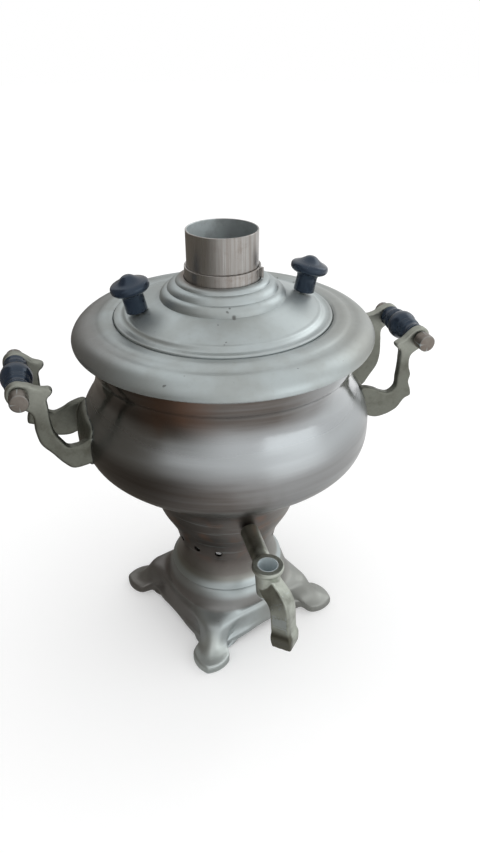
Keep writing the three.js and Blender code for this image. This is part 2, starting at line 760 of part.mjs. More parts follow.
// One cast yoke: two arms on a curved flange that follows the bowl, bored for the rod and the screws.
function makeYoke(side) {
  const inner = bowl_radius - 6 * flange_thickness;
  const outer = bowl_radius + fit_gap + flange_thickness;
  const half = flange_half_width;
  const corner = 2 * flange_thickness;
  const face = new THREE.Shape();
  const high = flange_height / 2;
  face.moveTo(-half + corner, -high);
  face.lineTo(half - corner, -high);
  face.absarc(half - corner, -high + corner, corner, -Math.PI / 2, 0);
  face.absarc(half - corner, high - corner, corner, 0, Math.PI / 2);
  face.absarc(-half + corner, high - corner, corner, Math.PI / 2, Math.PI);
  face.absarc(-half + corner, -high + corner, corner, Math.PI, 1.5 * Math.PI);
  const block = new THREE.ExtrudeGeometry(face, {
    depth: outer - inner,
    bevelEnabled: false,
    curveSegments: 3,
  });
  block.rotateX(Math.PI / 2).rotateZ(Math.PI / 2);
  block.translate(inner, 0, flange_middle);
  const outside = turned([[0, flange_middle - flange_height], [outer, flange_middle - flange_height],
    [outer, flange_middle + flange_height], [0, flange_middle + flange_height]], 2 * round_sides);
  const flange = solid(block).intersect(outside);
  const line = bowlLine(fit_gap);
  const bowl = turned([[0, line[0][1]], ...line, [0, line[line.length - 1][1]]]);
  const reach = arm_spread + arm_thickness;
  const rodHole = bar([grip_axis_reach, -reach, grip_axis_height],
    [grip_axis_reach, reach, grip_axis_height], rod_radius + fit_gap);
  const screws = yokeScrewHeights().map((z) => {
    const tip = radiusAt(bowlLine(), z) + flange_thickness - fit_gap;
    return bar([inner, 0, z], [tip, 0, z], yoke_screw_radius + fit_gap);
  });
  const made = cut(join(flange, makeArm(-1), makeArm(1)), bowl, rodHole, ...screws);
  return side > 0 ? made : made.rotate([0, 0, 180]);
}

// The radius of a line of [radius, height] points at a height.
function radiusAt(line, height) {
  const found = line.findIndex(([, z]) => z >= height);
  const after = Math.max(1, found < 0 ? line.length - 1 : found);
  const [low, high] = [line[after - 1], line[after]];
  return low[0] + ((high[0] - low[0]) * (height - low[1])) / (high[1] - low[1]);
}

// The bowl's least inner radius over the height of a screw head, at the middle of a flat facet.
function bowlInsideAt(z) {
  const line = insideOf(bowlLine(), bowl_wall);
  const edges = [-1, 1].map((end) => radiusAt(line, z + end * yoke_screw_head_radius));
  const between = line.filter(([, height]) => Math.abs(height - z) < yoke_screw_head_radius);
  const least = Math.min(...edges, ...between.map(([radius]) => radius));
  return Math.sqrt((least * Math.cos(Math.PI / round_sides)) ** 2 - yoke_screw_head_radius ** 2);
}

function makeYokeScrew(side, z) {
  const seat = bowlInsideAt(z) - fit_gap;
  const tip = radiusAt(bowlLine(), z) + flange_thickness - 3 * fit_gap;
  const body = turned([
    [0, -yoke_screw_head_height],
    [0.7 * yoke_screw_head_radius, -yoke_screw_head_height],
    [yoke_screw_head_radius, -0.4 * yoke_screw_head_height],
    [yoke_screw_head_radius, 0],
    [yoke_screw_radius, 0],
    [yoke_screw_radius, tip - seat],
    [0, tip - seat],
  ], pin_sides);
  return body.rotate([0, 90, 0]).translate([seat, 0, z]).rotate([0, 0, side > 0 ? 0 : 180]);
}

// The rod through both arms, with a long round head at the front.
function makeRod(side) {
  const front = -(arm_spread + arm_thickness / 2 + fit_gap);
  const back = arm_spread + arm_thickness / 2 + fit_gap + 0.6 * rod_nut_length;
  const head = front - rod_head_length;
  const body = turned([
    [0, head],
    [rod_head_radius - arm_edge, head],
    [rod_head_radius, head + arm_edge],
    [rod_head_radius, front],
    [rod_radius, front],
    [rod_radius, back],
    [0, back],
  ], tube_sides / 2);
  return alongY(body, side);
}

// The round nut on the back end of the rod.
function makeRodNut(side) {
  const low = arm_spread + arm_thickness / 2 + fit_gap;
  const high = low + rod_nut_length;
  const bore = rod_radius + fit_gap;
  const deep = low + 0.6 * rod_nut_length + 2 * fit_gap;
  const body = turned([
    [bore, low],
    [rod_head_radius, low],
    [rod_head_radius, high - arm_edge],
    [rod_head_radius - arm_edge, high],
    [0, high],
    [0, deep],
    [bore, deep],
  ], tube_sides / 2);
  return alongY(body, side);
}

// A turned piece laid from upright onto the rod's line, its top towards +Y.
function alongY(body, side) {
  return body.rotate([-90, 0, 0]).translate([side * grip_axis_reach, 0, grip_axis_height]);
}

// The turned grip: ringed cones at both ends, a notch on each side, and a ball in the middle.
// Each point is [share of the half length, share of the way from the notch to the ball's radius].
const grip_ball_shares = [[0.58, 0], [0.5, 0.48], [0.3, 0.9], [0, 1]];
const grip_cone_shares = [[1, 0.9], [0.87, 1], [0.78, 0.4]];

function makeGrip(side) {
  const half = grip_length / 2;
  const cone = grip_cone_shares.map(([along, out]) => [
    grip_notch_radius + out * (grip_end_radius - grip_notch_radius), along * half]);
  const ball = grip_ball_shares.map(([along, out]) => [
    grip_notch_radius + out * (grip_ball_radius - grip_notch_radius), along * half]);
  const upper = [...cone, ...ball];
  const lower = upper.slice(0, -1).reverse().map(([radius, height]) => [radius, -height]);
  const bore = rod_radius + fit_gap;
  return alongY(turned([[bore, half], ...upper, ...lower, [bore, -half]], tube_sides), side);
}

// A square section of the spout with one edge to the front and its edges blunted:
// [across, outwards] points, wider by an edge.
function spoutSection(edge) {
  const w = spout_across / 2 + edge;
  const b = spout_edge_flat / 2;
  return [[-b, w], [b, w], [w, b], [w, -b], [b, -w], [-b, -w], [-w, -b], [-w, b]];
}

// The spout's front edge: [share of the throw, share of the fall, degrees from level, lip share].
const spout_line_shares = [
  [0.02, -0.06, 15, -0.4], [0.39, 0, 30, 0], [0.6, 0.045, 38, 0], [0.74, 0.14, 52, 0],
  [0.835, 0.26, 68, 0], [0.875, 0.4, 80, 0], [0.905, 0.64, 83, 0], [0.93, 0.73, 84, 0.1],
  [0.985, 0.8, 85, 0.9], [1, 0.88, 85, 1], [1, 1, 85, 0.4],
];

// The middle of the spout at each point of its front edge: [out from the urn's axis, up, turn, edge].
function spoutStations() {
  const fall = spout_shoulder - spout_tip_height;
  return spout_line_shares.map(([out, down, degrees, lip]) => {
    const turn = degrees * radians;
    const edge = lip * spout_bead;
    const half = spout_across / 2 + edge;
    const reach = out * spout_throw - half * Math.sin(turn);
    return [tap_reach + reach, spout_shoulder - down * fall - half * Math.cos(turn), turn, edge];
  });
}

// A point on the tail's middle line at a distance from the urn's axis.
const tailPoint = (reach) =>
  [0, -reach, tap_height + (tap_reach - reach) * Math.tan(tail_slope * radians)];

// Sections along the spout as one closed body, with a fan of faces over each end.
function spoutBody() {
  const stations = spoutStations();
  const places = [];
  const ring = (out, up, turn, edge) => spoutSection(edge).forEach(([across, rise]) => {
    places.push(across, -(out + rise * Math.sin(turn)), up + rise * Math.cos(turn));
  });
  stations.forEach((station) => ring(...station));
  const count = spoutSection(0).length;
  const last = (stations.length - 1) * count;
  const index = [];
  for (let i = 0; i < stations.length - 1; i += 1) {
    for (let k = 0; k < count; k += 1) {
      const m = (k + 1) % count;
      index.push(i * count + k, i * count + m, (i + 1) * count + k);
      index.push(i * count + m, (i + 1) * count + m, (i + 1) * count + k);
    }
  }
  for (let k = 1; k < count - 1; k += 1) {
    index.push(0, k + 1, k);
    index.push(last, last + k, last + k + 1);
  }
  const geometry = new THREE.BufferGeometry();
  geometry.setAttribute("position", new THREE.Float32BufferAttribute(places, 3));
  geometry.setIndex(index);
  return solid(geometry);
}

// The tap's casting: tail, barrel and spout, with the water way bored through and the key's
// tapered socket open at the top.
function makeTapBody() {
  const low = barrel_top - barrel_length;
  const barrel = turned([
    [0, low],
    [0.7 * barrel_foot_radius, low],
    [barrel_foot_radius, low + 0.12 * barrel_length],
    [barrel_radius, barrel_top - 1.6 * barrel_ring_height],
    [barrel_ring_radius - 0.2 * barrel_ring_height, barrel_top - barrel_ring_height],
    [barrel_ring_radius, barrel_top - 0.7 * barrel_ring_height],
    [barrel_ring_radius, barrel_top - 0.2 * barrel_ring_height],
    [barrel_ring_radius - 0.2 * barrel_ring_height, barrel_top],
    [0, barrel_top],
  ], tube_sides).translate([0, -tap_reach, 0]);
  const stub_end = tapNutBack() - 2 * fit_gap;
  const blunt = tail_radius / 4;
  const shoulder = tailPoint(shoulder_reach + blunt);
  const tail = join(
    bar(shoulder, tailPoint(tap_reach), tail_radius, tube_sides),
    bar(tailPoint(shoulder_reach), shoulder, tail_radius - blunt, tube_sides, tail_radius),
    bar(tailPoint(stub_end), shoulder, tail_stub_radius),
  );
  const socket = bar([0, -tap_reach, low - overrun], [0, -tap_reach, barrel_top + overrun],
    socket_foot_radius, tube_sides, socket_radius);
  const way = spoutStations().map(([out, up]) => [0, -out, up]);
  const [mouth, elbow] = [way[way.length - 1], way[5]];
  const past = mouth.map((value, i) => value + (value - elbow[i]) / 4);
  const spout = cut(
    spoutBody(),
    bar([0, -tap_reach, elbow[2] + spout_bore_radius], elbow, spout_bore_radius),
    bar([elbow[0], elbow[1], elbow[2] + spout_bore_radius], past, spout_bore_radius),
  );
  const toAxis = [0, tap_reach, 0];
  const turnedSpout = spout.translate(toAxis).rotate([0, 0, spout_turn]).translate([0, -tap_reach, 0]);
  const tailWay = bar(tailPoint(0), tailPoint(tap_reach), tail_bore_radius);
  return cut(join(barrel, tail, turnedSpout), socket, tailWay);
}

// Where the washer stands against the inside of the flare, and the nut against the washer.
function tapWasherFront() {
  const low = tap_height - tap_washer_radius / 2;
  const inside = (skirtRadius(low) - 1.4 * flare_wall) * Math.cos(Math.PI / round_sides);
  return Math.sqrt(inside ** 2 - tap_washer_radius ** 2) - fit_gap;
}
const tapNutFront = () => tapWasherFront() - tap_washer_thickness - fit_gap;
const tapNutBack = () => tapNutFront() - tap_nut_thickness;

// A disc on the tail's line between two distances from the urn's axis, bored for the tail's stub.
function onTail(front, back, radius, sides) {
  const bore = bar(tailPoint(back - overrun), tailPoint(front + overrun), tail_stub_radius + fit_gap);
  return cut(bar(tailPoint(back), tailPoint(front), radius, sides), bore);
}

function makeTapWasher() {
  const front = tapWasherFront();
  return onTail(front, front - tap_washer_thickness, tap_washer_radius, tube_sides);
}

function makeTapNut() {
  const corner = tap_nut_flats / 2 / Math.cos(30 * radians);
  return onTail(tapNutFront(), tapNutBack(), corner, 6);
}

// The scene graph: one named mesh for each piece, grouped as the pieces are put together.
function piece(name, made, look) {
  const mesh = new THREE.Mesh(geometryOf(made), new THREE.MeshStandardMaterial(finish[look]));
  mesh.name = name;
  return mesh;
}

const foot = new THREE.Group();
foot.rotation.z = foot_turn * radians;
foot.add(piece("base_plinth", makePlinth(), "satin"));
rivetPlaces().forEach((place, i) => foot.add(piece("base_rivet_" + (i + 1), makeRivet(place), "satin")));

const urn = new THREE.Group();
urn.add(piece("vented_skirt", makeSkirt(), "plated"));
urn.add(piece("vessel_bowl", makeBowl(), "plated"));
urn.add(piece("brim_ring", makeBrim(), "satin"));
urn.add(piece("fire_tube", makeFireTube(), "brushed"));
urn.add(piece("water_floor", makeWaterFloor(), "brushed"));
urn.add(piece("fire_grate", makeGrate(), "cast"));

const tap = new THREE.Group();
tap.add(piece("tap_body", makeTapBody(), "cast"));
tap.add(piece("tap_washer", makeTapWasher(), "fibre"));
tap.add(piece("tap_nut", makeTapNut(), "cast"));

const cover = new THREE.Group();
cover.add(piece("lid", makeLid(), "satin"));
cover.add(piece("lid_collar", makeCollar(), "brushed"));

const handles = new THREE.Group();
for (const [side, name] of [[-1, "left"], [1, "right"]]) {
  cover.add(piece("knob_" + name, makeKnob(side), "plastic"));
  cover.add(piece("knob_screw_" + name, makeKnobScrew(side), "satin"));
  handles.add(piece("handle_yoke_" + name, makeYoke(side), "cast"));
  handles.add(piece("handle_rod_" + name, makeRod(side), "copper"));
  handles.add(piece("rod_nut_" + name, makeRodNut(side), "copper"));
  handles.add(piece("grip_" + name, makeGrip(side), "plastic"));
  yokeScrewHeights().forEach((z, i) => {
    handles.add(piece("yoke_screw_" + name + "_" + (i + 1), makeYokeScrew(side, z), "satin"));
  });
}

const samovar = new THREE.Group();
samovar.add(foot, urn, tap, cover, handles);
samovar.position.y = axis_shift;

export default samovar;
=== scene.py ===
"""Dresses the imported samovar: smooth spun, cast and moulded pieces round the fixed frame, and a stage."""

import math

import bmesh
import bpy
import numpy as np
from bpy.props import FloatProperty, FloatVectorProperty, IntProperty, PointerProperty
from bpy.types import NodeSocket, Operator, Panel, PropertyGroup
from mathutils import Matrix, Vector
from mathutils.geometry import tessellate_polygon


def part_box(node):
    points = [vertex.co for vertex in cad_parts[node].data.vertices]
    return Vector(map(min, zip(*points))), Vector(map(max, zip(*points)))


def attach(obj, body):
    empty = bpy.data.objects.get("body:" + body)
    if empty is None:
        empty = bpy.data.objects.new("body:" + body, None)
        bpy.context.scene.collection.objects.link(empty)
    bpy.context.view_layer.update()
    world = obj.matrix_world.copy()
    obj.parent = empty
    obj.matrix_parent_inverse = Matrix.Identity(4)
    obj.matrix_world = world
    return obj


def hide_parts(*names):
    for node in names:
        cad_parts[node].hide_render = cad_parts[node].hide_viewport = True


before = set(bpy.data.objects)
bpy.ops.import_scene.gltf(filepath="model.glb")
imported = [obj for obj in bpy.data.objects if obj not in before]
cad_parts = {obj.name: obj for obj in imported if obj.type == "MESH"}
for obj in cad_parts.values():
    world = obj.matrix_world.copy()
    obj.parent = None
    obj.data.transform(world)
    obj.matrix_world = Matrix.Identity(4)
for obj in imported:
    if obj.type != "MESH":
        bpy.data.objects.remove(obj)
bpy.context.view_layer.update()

bl_info = {
    "name": "Samovar dressing",
    "version": (1, 0, 0),
    "blender": (4, 5, 0),
    "location": "View3D > Sidebar > Samovar",
    "description": "Builds the visible pieces, finishes and stage of a small charcoal samovar",
    "category": "Object",
}

MM = 0.001
URN = "urn"
COVER = "cover"
SIDES = {"left": -1, "right": 1}
VIEW_TURN = 0.28  # in radians, from the front round to the left, where the camera stands
WARM_REFLECTION_TURN = 0.62  # the same to the middle of the painted warm reflection under the brim
CREST_LOW, CREST_HIGH = 132 * MM, 148 * MM  # heights between which the handle arms grow lighter
TUBE_SKIN, TUBE_LINING = 14.75 * MM, 14.55 * MM  # radii between which the tube's outside becomes its inside
SOCKET_RADIUS = 4.4 * MM  # of the tap's open socket
# Places of dirt on the lid in millimetres: to the right, before the axis, up, and the size
DIRT_SPOTS = np.array([(-4.5, 24.5, 177.0, 0.6), (-3.5, 27.2, 174.2, 1.3)])


# Places read from the frame


def span(node):
    """The lowest and highest corner of a node, as arrays."""
    low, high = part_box(node)
    return np.array(low), np.array(high)


def reach(node):
    """Half the width of a round node along X: its greatest radius."""
    low, high = span(node)
    return (high[0] - low[0]) / 2


AXIS_Y = (sum(span("vessel_bowl")) / 2)[1]
BOWL_RADIUS = reach("vessel_bowl")
BOWL_FOOT, BOWL_TOP = span("vessel_bowl")[0][2], span("vessel_bowl")[1][2]
SEAM_RADIUS = reach("vented_skirt")
NECK_FOOT, SEAM = span("vented_skirt")[0][2], span("vented_skirt")[1][2]
BRIM_RADIUS = reach("brim_ring")
BRIM_TOP = span("brim_ring")[1][2]
LID_RADIUS = reach("lid")
LID_SEAT, LID_TOP = span("lid")[0][2], span("lid")[1][2]
TUBE_TOP = span("fire_tube")[1][2]
TUBE_FOOT = span("fire_tube")[0][2]
FIREBOX_RADIUS = reach("fire_tube")
COLLAR_TOP = span("lid_collar")[1][2]
TAP_REACH = 62.4 * MM  # from the axis to the barrel
CONE_FOOT = LID_SEAT + 9.5 * MM  # where the lid's cone meets its dome
DOME_RADIUS = 27.2 * MM
BORE = 2.5 * MM  # radius of the holes round the rods
ROD_REACH, _, ROD_HEIGHT = sum(span("handle_rod_right")) / 2


# Sizes and colours that a user may change


def length(title, text, millimetres):
    """A length that a user may change, given in millimetres."""
    return FloatProperty(name=title, description=text, default=millimetres * MM, unit="LENGTH", precision=4)


def tint(title, text, value):
    """A colour that a user may change."""
    return FloatVectorProperty(
        name=title, description=text, default=value, size=3, subtype="COLOR", min=0, max=1,
    )


def angle(title, text, value):
    """An angle that a user may change, in radians."""
    return FloatProperty(name=title, description=text, default=value, subtype="ANGLE", unit="ROTATION")


def power(title, text, value):
    """A lamp's power that a user may change, in watts."""
    return FloatProperty(name=title, description=text, default=value, unit="POWER")


class SamovarSizes(PropertyGroup):
    """Walls, rims and details of the pieces."""

    bowl_wall: length("Bowl wall", "Thickness of the bowl's sheet", 1.2)
    mouth_inset: length("Mouth inset", "From the bowl's widest line in to its mouth", 6.9)
    skirt_wall: length("Flare wall", "Thickness of the neck and flare", 1.6)
    waist_radius: length("Waist radius", "Radius of the narrowest part of the neck", 24.5)
    air_hole_radius: length("Air hole radius", "Radius of the round holes in the neck", 1.75)
    air_hole_rise: length("Air hole height", "From the neck's foot to the holes", 20.4)
    sheet: length("Sheet", "Thickness of the brim and the lid", 1.1)
    tube_radius: length("Tube radius", "Outer radius of the chimney tube", 15.1)
    tube_wall: length("Tube wall", "Thickness of the chimney tube", 0.7)
    collar_radius: length("Collar radius", "Radius of the band round the chimney", 16.1)
    knob_head: length("Knob head", "Radius of a knob's head", 8.2)
    grip_ball: length("Grip ball", "Radius of the ball in the middle of a grip", 6.7)
    arm_thickness: length("Arm thickness", "Thickness of the cast handle arms", 4.0)
    sides: IntProperty(name="Sides", description="Steps round the large turned pieces", default=168, min=28)
    small_sides: IntProperty(name="Small sides", description="Steps round the small pieces", default=72, min=12)


class SamovarFinish(PropertyGroup):
    """Colours of the finishes."""

    satin: tint("Satin casting", "Lid, brim and foot", (0.43, 0.475, 0.48))
    # satin_shade: dull mottled tone, and also the painted shade on foot and lid and the painted light on the right
    # of the neck
    satin_shade: tint("Satin tarnish", "Dull patches on the lid, brim and foot", (0.30, 0.305, 0.285))
    plated: tint("Plated sheet", "Clean plating of the bowl", (0.40, 0.42, 0.43))
    # plated_shade is tarnished brown used as the bowl's painted shade
    plated_shade: tint("Plating tarnish", "Brown tarnish on the bowl", (0.105, 0.09, 0.08))
    # neck: tarnished plating darkened as painted shade; also laid as painted shade on the left of foot and brim
    neck: tint("Neck", "Tarnished plating of the neck and flare", (0.16, 0.14, 0.13))
    # coppery colour: worn plating on the neck, and the bowl's painted warm reflection under the brim
    copper_and_reflection: tint("Worn plating", "Copper that shows through worn plating", (0.33, 0.15, 0.075))
    tube: tint("Tube", "Brushed chimney tube", (0.43, 0.43, 0.42))
    tube_shade: tint("Tube streaks", "Brown heat streaks on the tube", (0.17, 0.13, 0.105))
    cast: tint("Grey casting", "Tap and handle castings", (0.42, 0.445, 0.395))
    arm: tint("Handle casting", "Darker casting of the handle arms", (0.165, 0.17, 0.145))
    # painted light: the lighter tops of the handle arms
    arm_top_light: tint("Handled casting", "Top of the handle arms, rubbed lighter by use", (0.34, 0.35, 0.31))
    # also the painted shade on the tap's left faces and tail
    cast_shade: tint("Casting hollows", "Dirt in the castings' hollows", (0.075, 0.072, 0.055))
    plastic: tint("Plastic", "Blue-black knobs and grips", (0.013, 0.019, 0.031))
    plastic_worn: tint("Handled plastic", "Dull marks on knobs and grips", (0.022, 0.030, 0.042))
    plastic_shine: tint("Plastic shine", "Bluish mirroring of the plastic", (0.62, 0.80, 1.0))
    grime: tint("Grime", "Dark dirt in seams", (0.05, 0.045, 0.04))
    # painted light: the pale band round the lid's dome
    lid_light_band: tint("Rubbed lid", "Bright band round the lid's dome", (0.64, 0.70, 0.70))
    pad_light: tint("Pad", "Pale metal of the pads", (0.60, 0.64, 0.60))
    tube_bright: tint("Bright tube", "Clean left side of the tube", (0.62, 0.61, 0.59))
    # painted light: the pale inside of the tube
    ash_and_light: tint("Ash", "Pale ash in the tube", (0.64, 0.70, 0.71))
    ash_shade: tint("Grey ash", "Darker ash in the tube", (0.40, 0.43, 0.43))
    # painted shade on the right inside the tube
    soot_and_shade: tint("Soot", "Soot in the tube, on the right", (0.10, 0.105, 0.105))
    bore: tint("Tap bore", "Scoured inside of the tap's socket", (0.55, 0.62, 0.64))
    rod: tint("Rod", "Brownish rods and nuts", (0.20, 0.18, 0.16))
    rod_shade: tint("Rod patches", "Coppery patches on rods and nuts", (0.12, 0.085, 0.065))
    grate: tint("Grate", "Burnt grate", (0.02, 0.018, 0.016))
    fibre: tint("Fibre", "Washer behind the tap", (0.09, 0.07, 0.05))


class SamovarStage(PropertyGroup):
    """Camera, floor and lamps."""

    lens: FloatProperty(
        name="Lens", description="Focal length on 36 mm", default=28.834, subtype="DISTANCE_CAMERA",
    )
    place: FloatVectorProperty(
        name="Camera", description="Where the camera stands", size=3, subtype="TRANSLATION",
        default=(-0.07749, -0.25864, 0.27840),
    )
    heading: angle("Heading", "Turn of the view to the left of +Y", -0.30892)
    pitch: angle("Pitch", "How far the camera looks down", 0.5526)
    roll: angle("Roll", "Turn of the camera about its view", -0.0019)
    floor: tint("Floor", "Plain pale floor", (0.90, 0.90, 0.90))
    cloth: tint("Dark cloth", "Cloth on the left that the metal mirrors", (0.145, 0.13, 0.112))
    key_power: power("Key lamp", "Power of the soft lamp in front", 0.55)
    side_power: power("Side lamp", "Power of the soft lamp on the right", 0.55)
    sky: FloatProperty(name="Sky", description="Strength of the even light", default=1.0, min=0)


# Shapes: lines, grids and solids worked out with numpy

HALF_EDGE = 0.48  # the greatest share of an edge that a rounded corner takes


def full_turn(sides):
    """Angles all the way round, in equal steps."""
    return np.linspace(0, 2 * math.pi, sides, endpoint=False)


def cubic(u, run, start, end, leaving, arriving):
    """The cubic between two points with given tangents. With u from 0 to 1 the start counts 2u³ − 3u² + 1, its
    tangent over the run u³ − 2u² + u, the end 3u² − 2u³ and its tangent over the run u³ − u²."""
    return (
        (2 * u**3 - 3 * u**2 + 1) * start
        + (u**3 - 2 * u**2 + u) * run * leaving
        + (3 * u**2 - 2 * u**3) * end
        + (u**3 - u**2) * run * arriving
    )


def parabola(start, corner, end, steps):
    """The parabola that touches both edges of a corner. With t from 0 to 1 the start counts (1 − t)², the corner
    2t(1 − t) and the end t²."""
    t = np.linspace(0, 1, steps).reshape(1, -1, *[1] * (corner.ndim - 1))
    return (1 - t) ** 2 * start[:, None] + 2 * t * (1 - t) * corner[:, None] + t**2 * end[:, None]


def smooth_line(points, step=0.5 * MM):
    """A smooth curve through points. On each stretch it is the cubic that meets both end points with
    tangents averaged from the neighbouring stretches, weighted by their lengths."""
    p = np.asarray(points, float)
    chord = np.diff(p, axis=0)
    gap = np.linalg.norm(chord, axis=1)
    slope = chord / gap[:, None]
    weight = gap[:, None]
    inner = (slope[:-1] * weight[1:] + slope[1:] * weight[:-1]) / (weight[:-1] + weight[1:])
    tangent = np.vstack([slope[:1], inner, slope[-1:]])
    place = np.r_[0, np.cumsum(gap)]
    along = np.linspace(0, place[-1], max(2, int(place[-1] / step) + 1))
    i = np.clip(np.searchsorted(place, along, side="right") - 1, 0, len(gap) - 1)
    run = gap[i][:, None]
    return cubic((along - place[i])[:, None] / run, run, p[i], p[i + 1], tangent[i], tangent[i + 1])


def smooth_loop(points, step):
    """The same curve closed on itself: the first and last points are repeated beyond the ends, and one lap of
    the smoothed line is kept."""
    p = np.asarray(points, float)
    line = smooth_line(np.vstack([p[-2:], p, p[:3]]), step)
    away, half = np.linalg.norm(line - p[0], axis=1), len(line) // 2
    return line[np.argmin(away[:half]) : half + np.argmin(away[half:])]


def softened(points, radius, steps=4):
    """A polygon with its corners rounded. Each corner becomes the parabola that leaves one edge and joins
    the next at the radius from the corner, or at about half the edge where that is less."""
    p = np.asarray(points, float)
    ends = []
    for way in (1, -1):
        edge = np.roll(p, way, 0) - p
        run = np.linalg.norm(edge, axis=1)
        ends.append(p + edge / run[:, None] * np.minimum(radius, HALF_EDGE * run)[:, None])
    return parabola(ends[0], p, ends[1], steps).reshape(-1, p.shape[1])


def softened_open(points, radius, steps=4):
    """An open polygon with its inner corners rounded and its ends kept."""
    p = np.asarray(points, float)
    return np.vstack([p[:1], softened(p, radius, steps)[steps:-steps], p[-1:]])


def finer_rings(grid, parts):
    """Rows of closed rings, each stretch between two points divided by the cubic of smooth_line."""
    after = np.roll(grid, -1, axis=1)
    gap = np.maximum(np.linalg.norm(after - grid, axis=2, keepdims=True), 1e-9)
    slope = (after - grid) / gap
    slope_before, gap_before = np.roll(slope, 1, axis=1), np.roll(gap, 1, axis=1)
    tangent = (slope_before * gap + slope * gap_before) / (gap + gap_before)
    u = np.arange(parts)[None, None, :, None] / parts
    grids = [each[:, :, None] for each in (gap, grid, after, tangent, np.roll(tangent, -1, axis=1))]
    return cubic(u, *grids).reshape(grid.shape[0], -1, 3)


def rounded_rings(grid, radii, steps):
    """A closed stack of rings with each ring's corner replaced by a parabola, as softened does for one line."""
    radii = np.asarray(radii)[:, None, None]
    ends = []
    for way in (1, -1):
        edge = np.roll(grid, way, axis=0) - grid
        run = np.maximum(np.linalg.norm(edge, axis=2, keepdims=True), 1e-9)
        ends.append(grid + edge * np.minimum(radii / run, HALF_EDGE))
    return parabola(ends[0], grid, ends[1], steps).reshape(-1, grid.shape[1], 3)


def profile_mm(*rows):
    """Points given in millimetres, in metres."""
    return np.array(rows, float) * MM


def turned(profile, sides, centre_y=AXIS_Y):
    """A profile of (radius, height) turned about an upright axis: x is radius times sine, y is radius times
    minus cosine from the axis, z is height."""
    return swept(profile, full_turn(sides), centre_y)


def swept(profile, turn, centre_y=AXIS_Y):
    """A profile of (radius, height) set at given turns about an upright axis, with the formula of turned."""
    radius, height = profile[:, :1], profile[:, 1:]
    x = radius * np.sin(turn)
    return np.stack([x, centre_y - radius * np.cos(turn), height + 0 * x], axis=-1)


def quads(rows, columns, close_rows, close_columns):
    """The four corners of each cell of a grid, numbered row by row."""
    number = np.arange(rows * columns).reshape(rows, columns)
    if close_rows:
        number = np.vstack([number, number[:1]])
    if close_columns:
        number = np.hstack([number, number[:, :1]])
    cells = [number[:-1, :-1], number[:-1, 1:], number[1:, 1:], number[1:, :-1]]
    return np.stack([c.ravel() for c in cells], axis=1)


def sheet(grid, close_rows=True, close_columns=True):
    """A grid of points as (points, faces)."""
    rows, columns = grid.shape[:2]
    return grid.reshape(-1, 3), quads(rows, columns, close_rows, close_columns)


def together(parts):
    """Several (points, faces) as one."""
    counts = np.cumsum([0] + [len(points) for points, _ in parts])
    points = np.vstack([points for points, _ in parts])
    return points, np.vstack([faces + count for (_, faces), count in zip(parts, counts)])


def add_mesh(name, points, faces):
    """A new object with its doubles merged, its poles closed and its faces turned outwards."""
    mesh = bpy.data.meshes.new(name)
    mesh.from_pydata(points.tolist(), [], [tuple(dict.fromkeys(face)) for face in faces.tolist()])
    build = bmesh.new()
    build.from_mesh(mesh)
    bmesh.ops.remove_doubles(build, verts=build.verts, dist=0.002 * MM)
    bmesh.ops.dissolve_degenerate(build, edges=build.edges, dist=0.001 * MM)
    bmesh.ops.recalc_face_normals(build, faces=build.faces)
    build.to_mesh(mesh)
    build.free()
    piece = bpy.data.objects.new(name, mesh)
    bpy.context.scene.collection.objects.link(piece)
    return piece


def bake_modifiers(piece):
    """Replaces a piece's mesh by what its modifiers make of it."""
    graph = bpy.context.evaluated_depsgraph_get()
    made = bpy.data.meshes.new_from_object(piece.evaluated_get(graph))
    piece.modifiers.clear()
    piece.data = made
    return piece


def melt(piece, voxel, rounds):
    """Joins overlapping closed shells into one skin with soft inner corners, as a casting has."""
    remesh = piece.modifiers.new("Melt", "REMESH")
    remesh.mode = "VOXEL"
    remesh.voxel_size = voxel
    relax = piece.modifiers.new("Relax", "SMOOTH")
    relax.factor = 0.5
    relax.iterations = rounds
    return bake_modifiers(piece)


def carve(piece, points, faces):
    """Cuts a closed shape out of a piece."""
    cutter = add_mesh("cutter", points, faces)
    cut = piece.modifiers.new("Cut", "BOOLEAN")
    cut.operation = "DIFFERENCE"
    cut.solver = "EXACT"
    cut.object = cutter
    bake_modifiers(piece)
    bpy.data.objects.remove(cutter)
    return piece


def settle(piece, body, slot, nodes, finish=None, sharp=35):
    """Gives a piece its smooth shading, its finish, which has the slot's name unless another is given, and its
    body, and hides the nodes that it stands for."""
    mesh = piece.data
    mesh.shade_smooth()
    mesh.set_sharp_from_angle(angle=math.radians(sharp))
    mesh.materials.clear()
    mesh.materials.append(look(finish or slot))
    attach(piece, body)
    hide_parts(*nodes)


def lathe(name, profile, sides):
    """A turned piece from a profile that closes on itself or on the axis."""
    return add_mesh(name, *sheet(turned(profile, sides)))


def turn_matrix(axis, angle):
    """The matrix that turns about a unit axis: cosine times identity, sine times the cross product with
    the axis, and the rest along the axis."""
    x, y, z = axis
    cross = np.array([[0, -z, y], [z, 0, -x], [-y, x, 0]])
    return np.eye(3) * math.cos(angle) + cross * math.sin(angle) + np.outer(axis, axis) * (1 - math.cos(angle))


# Finishes


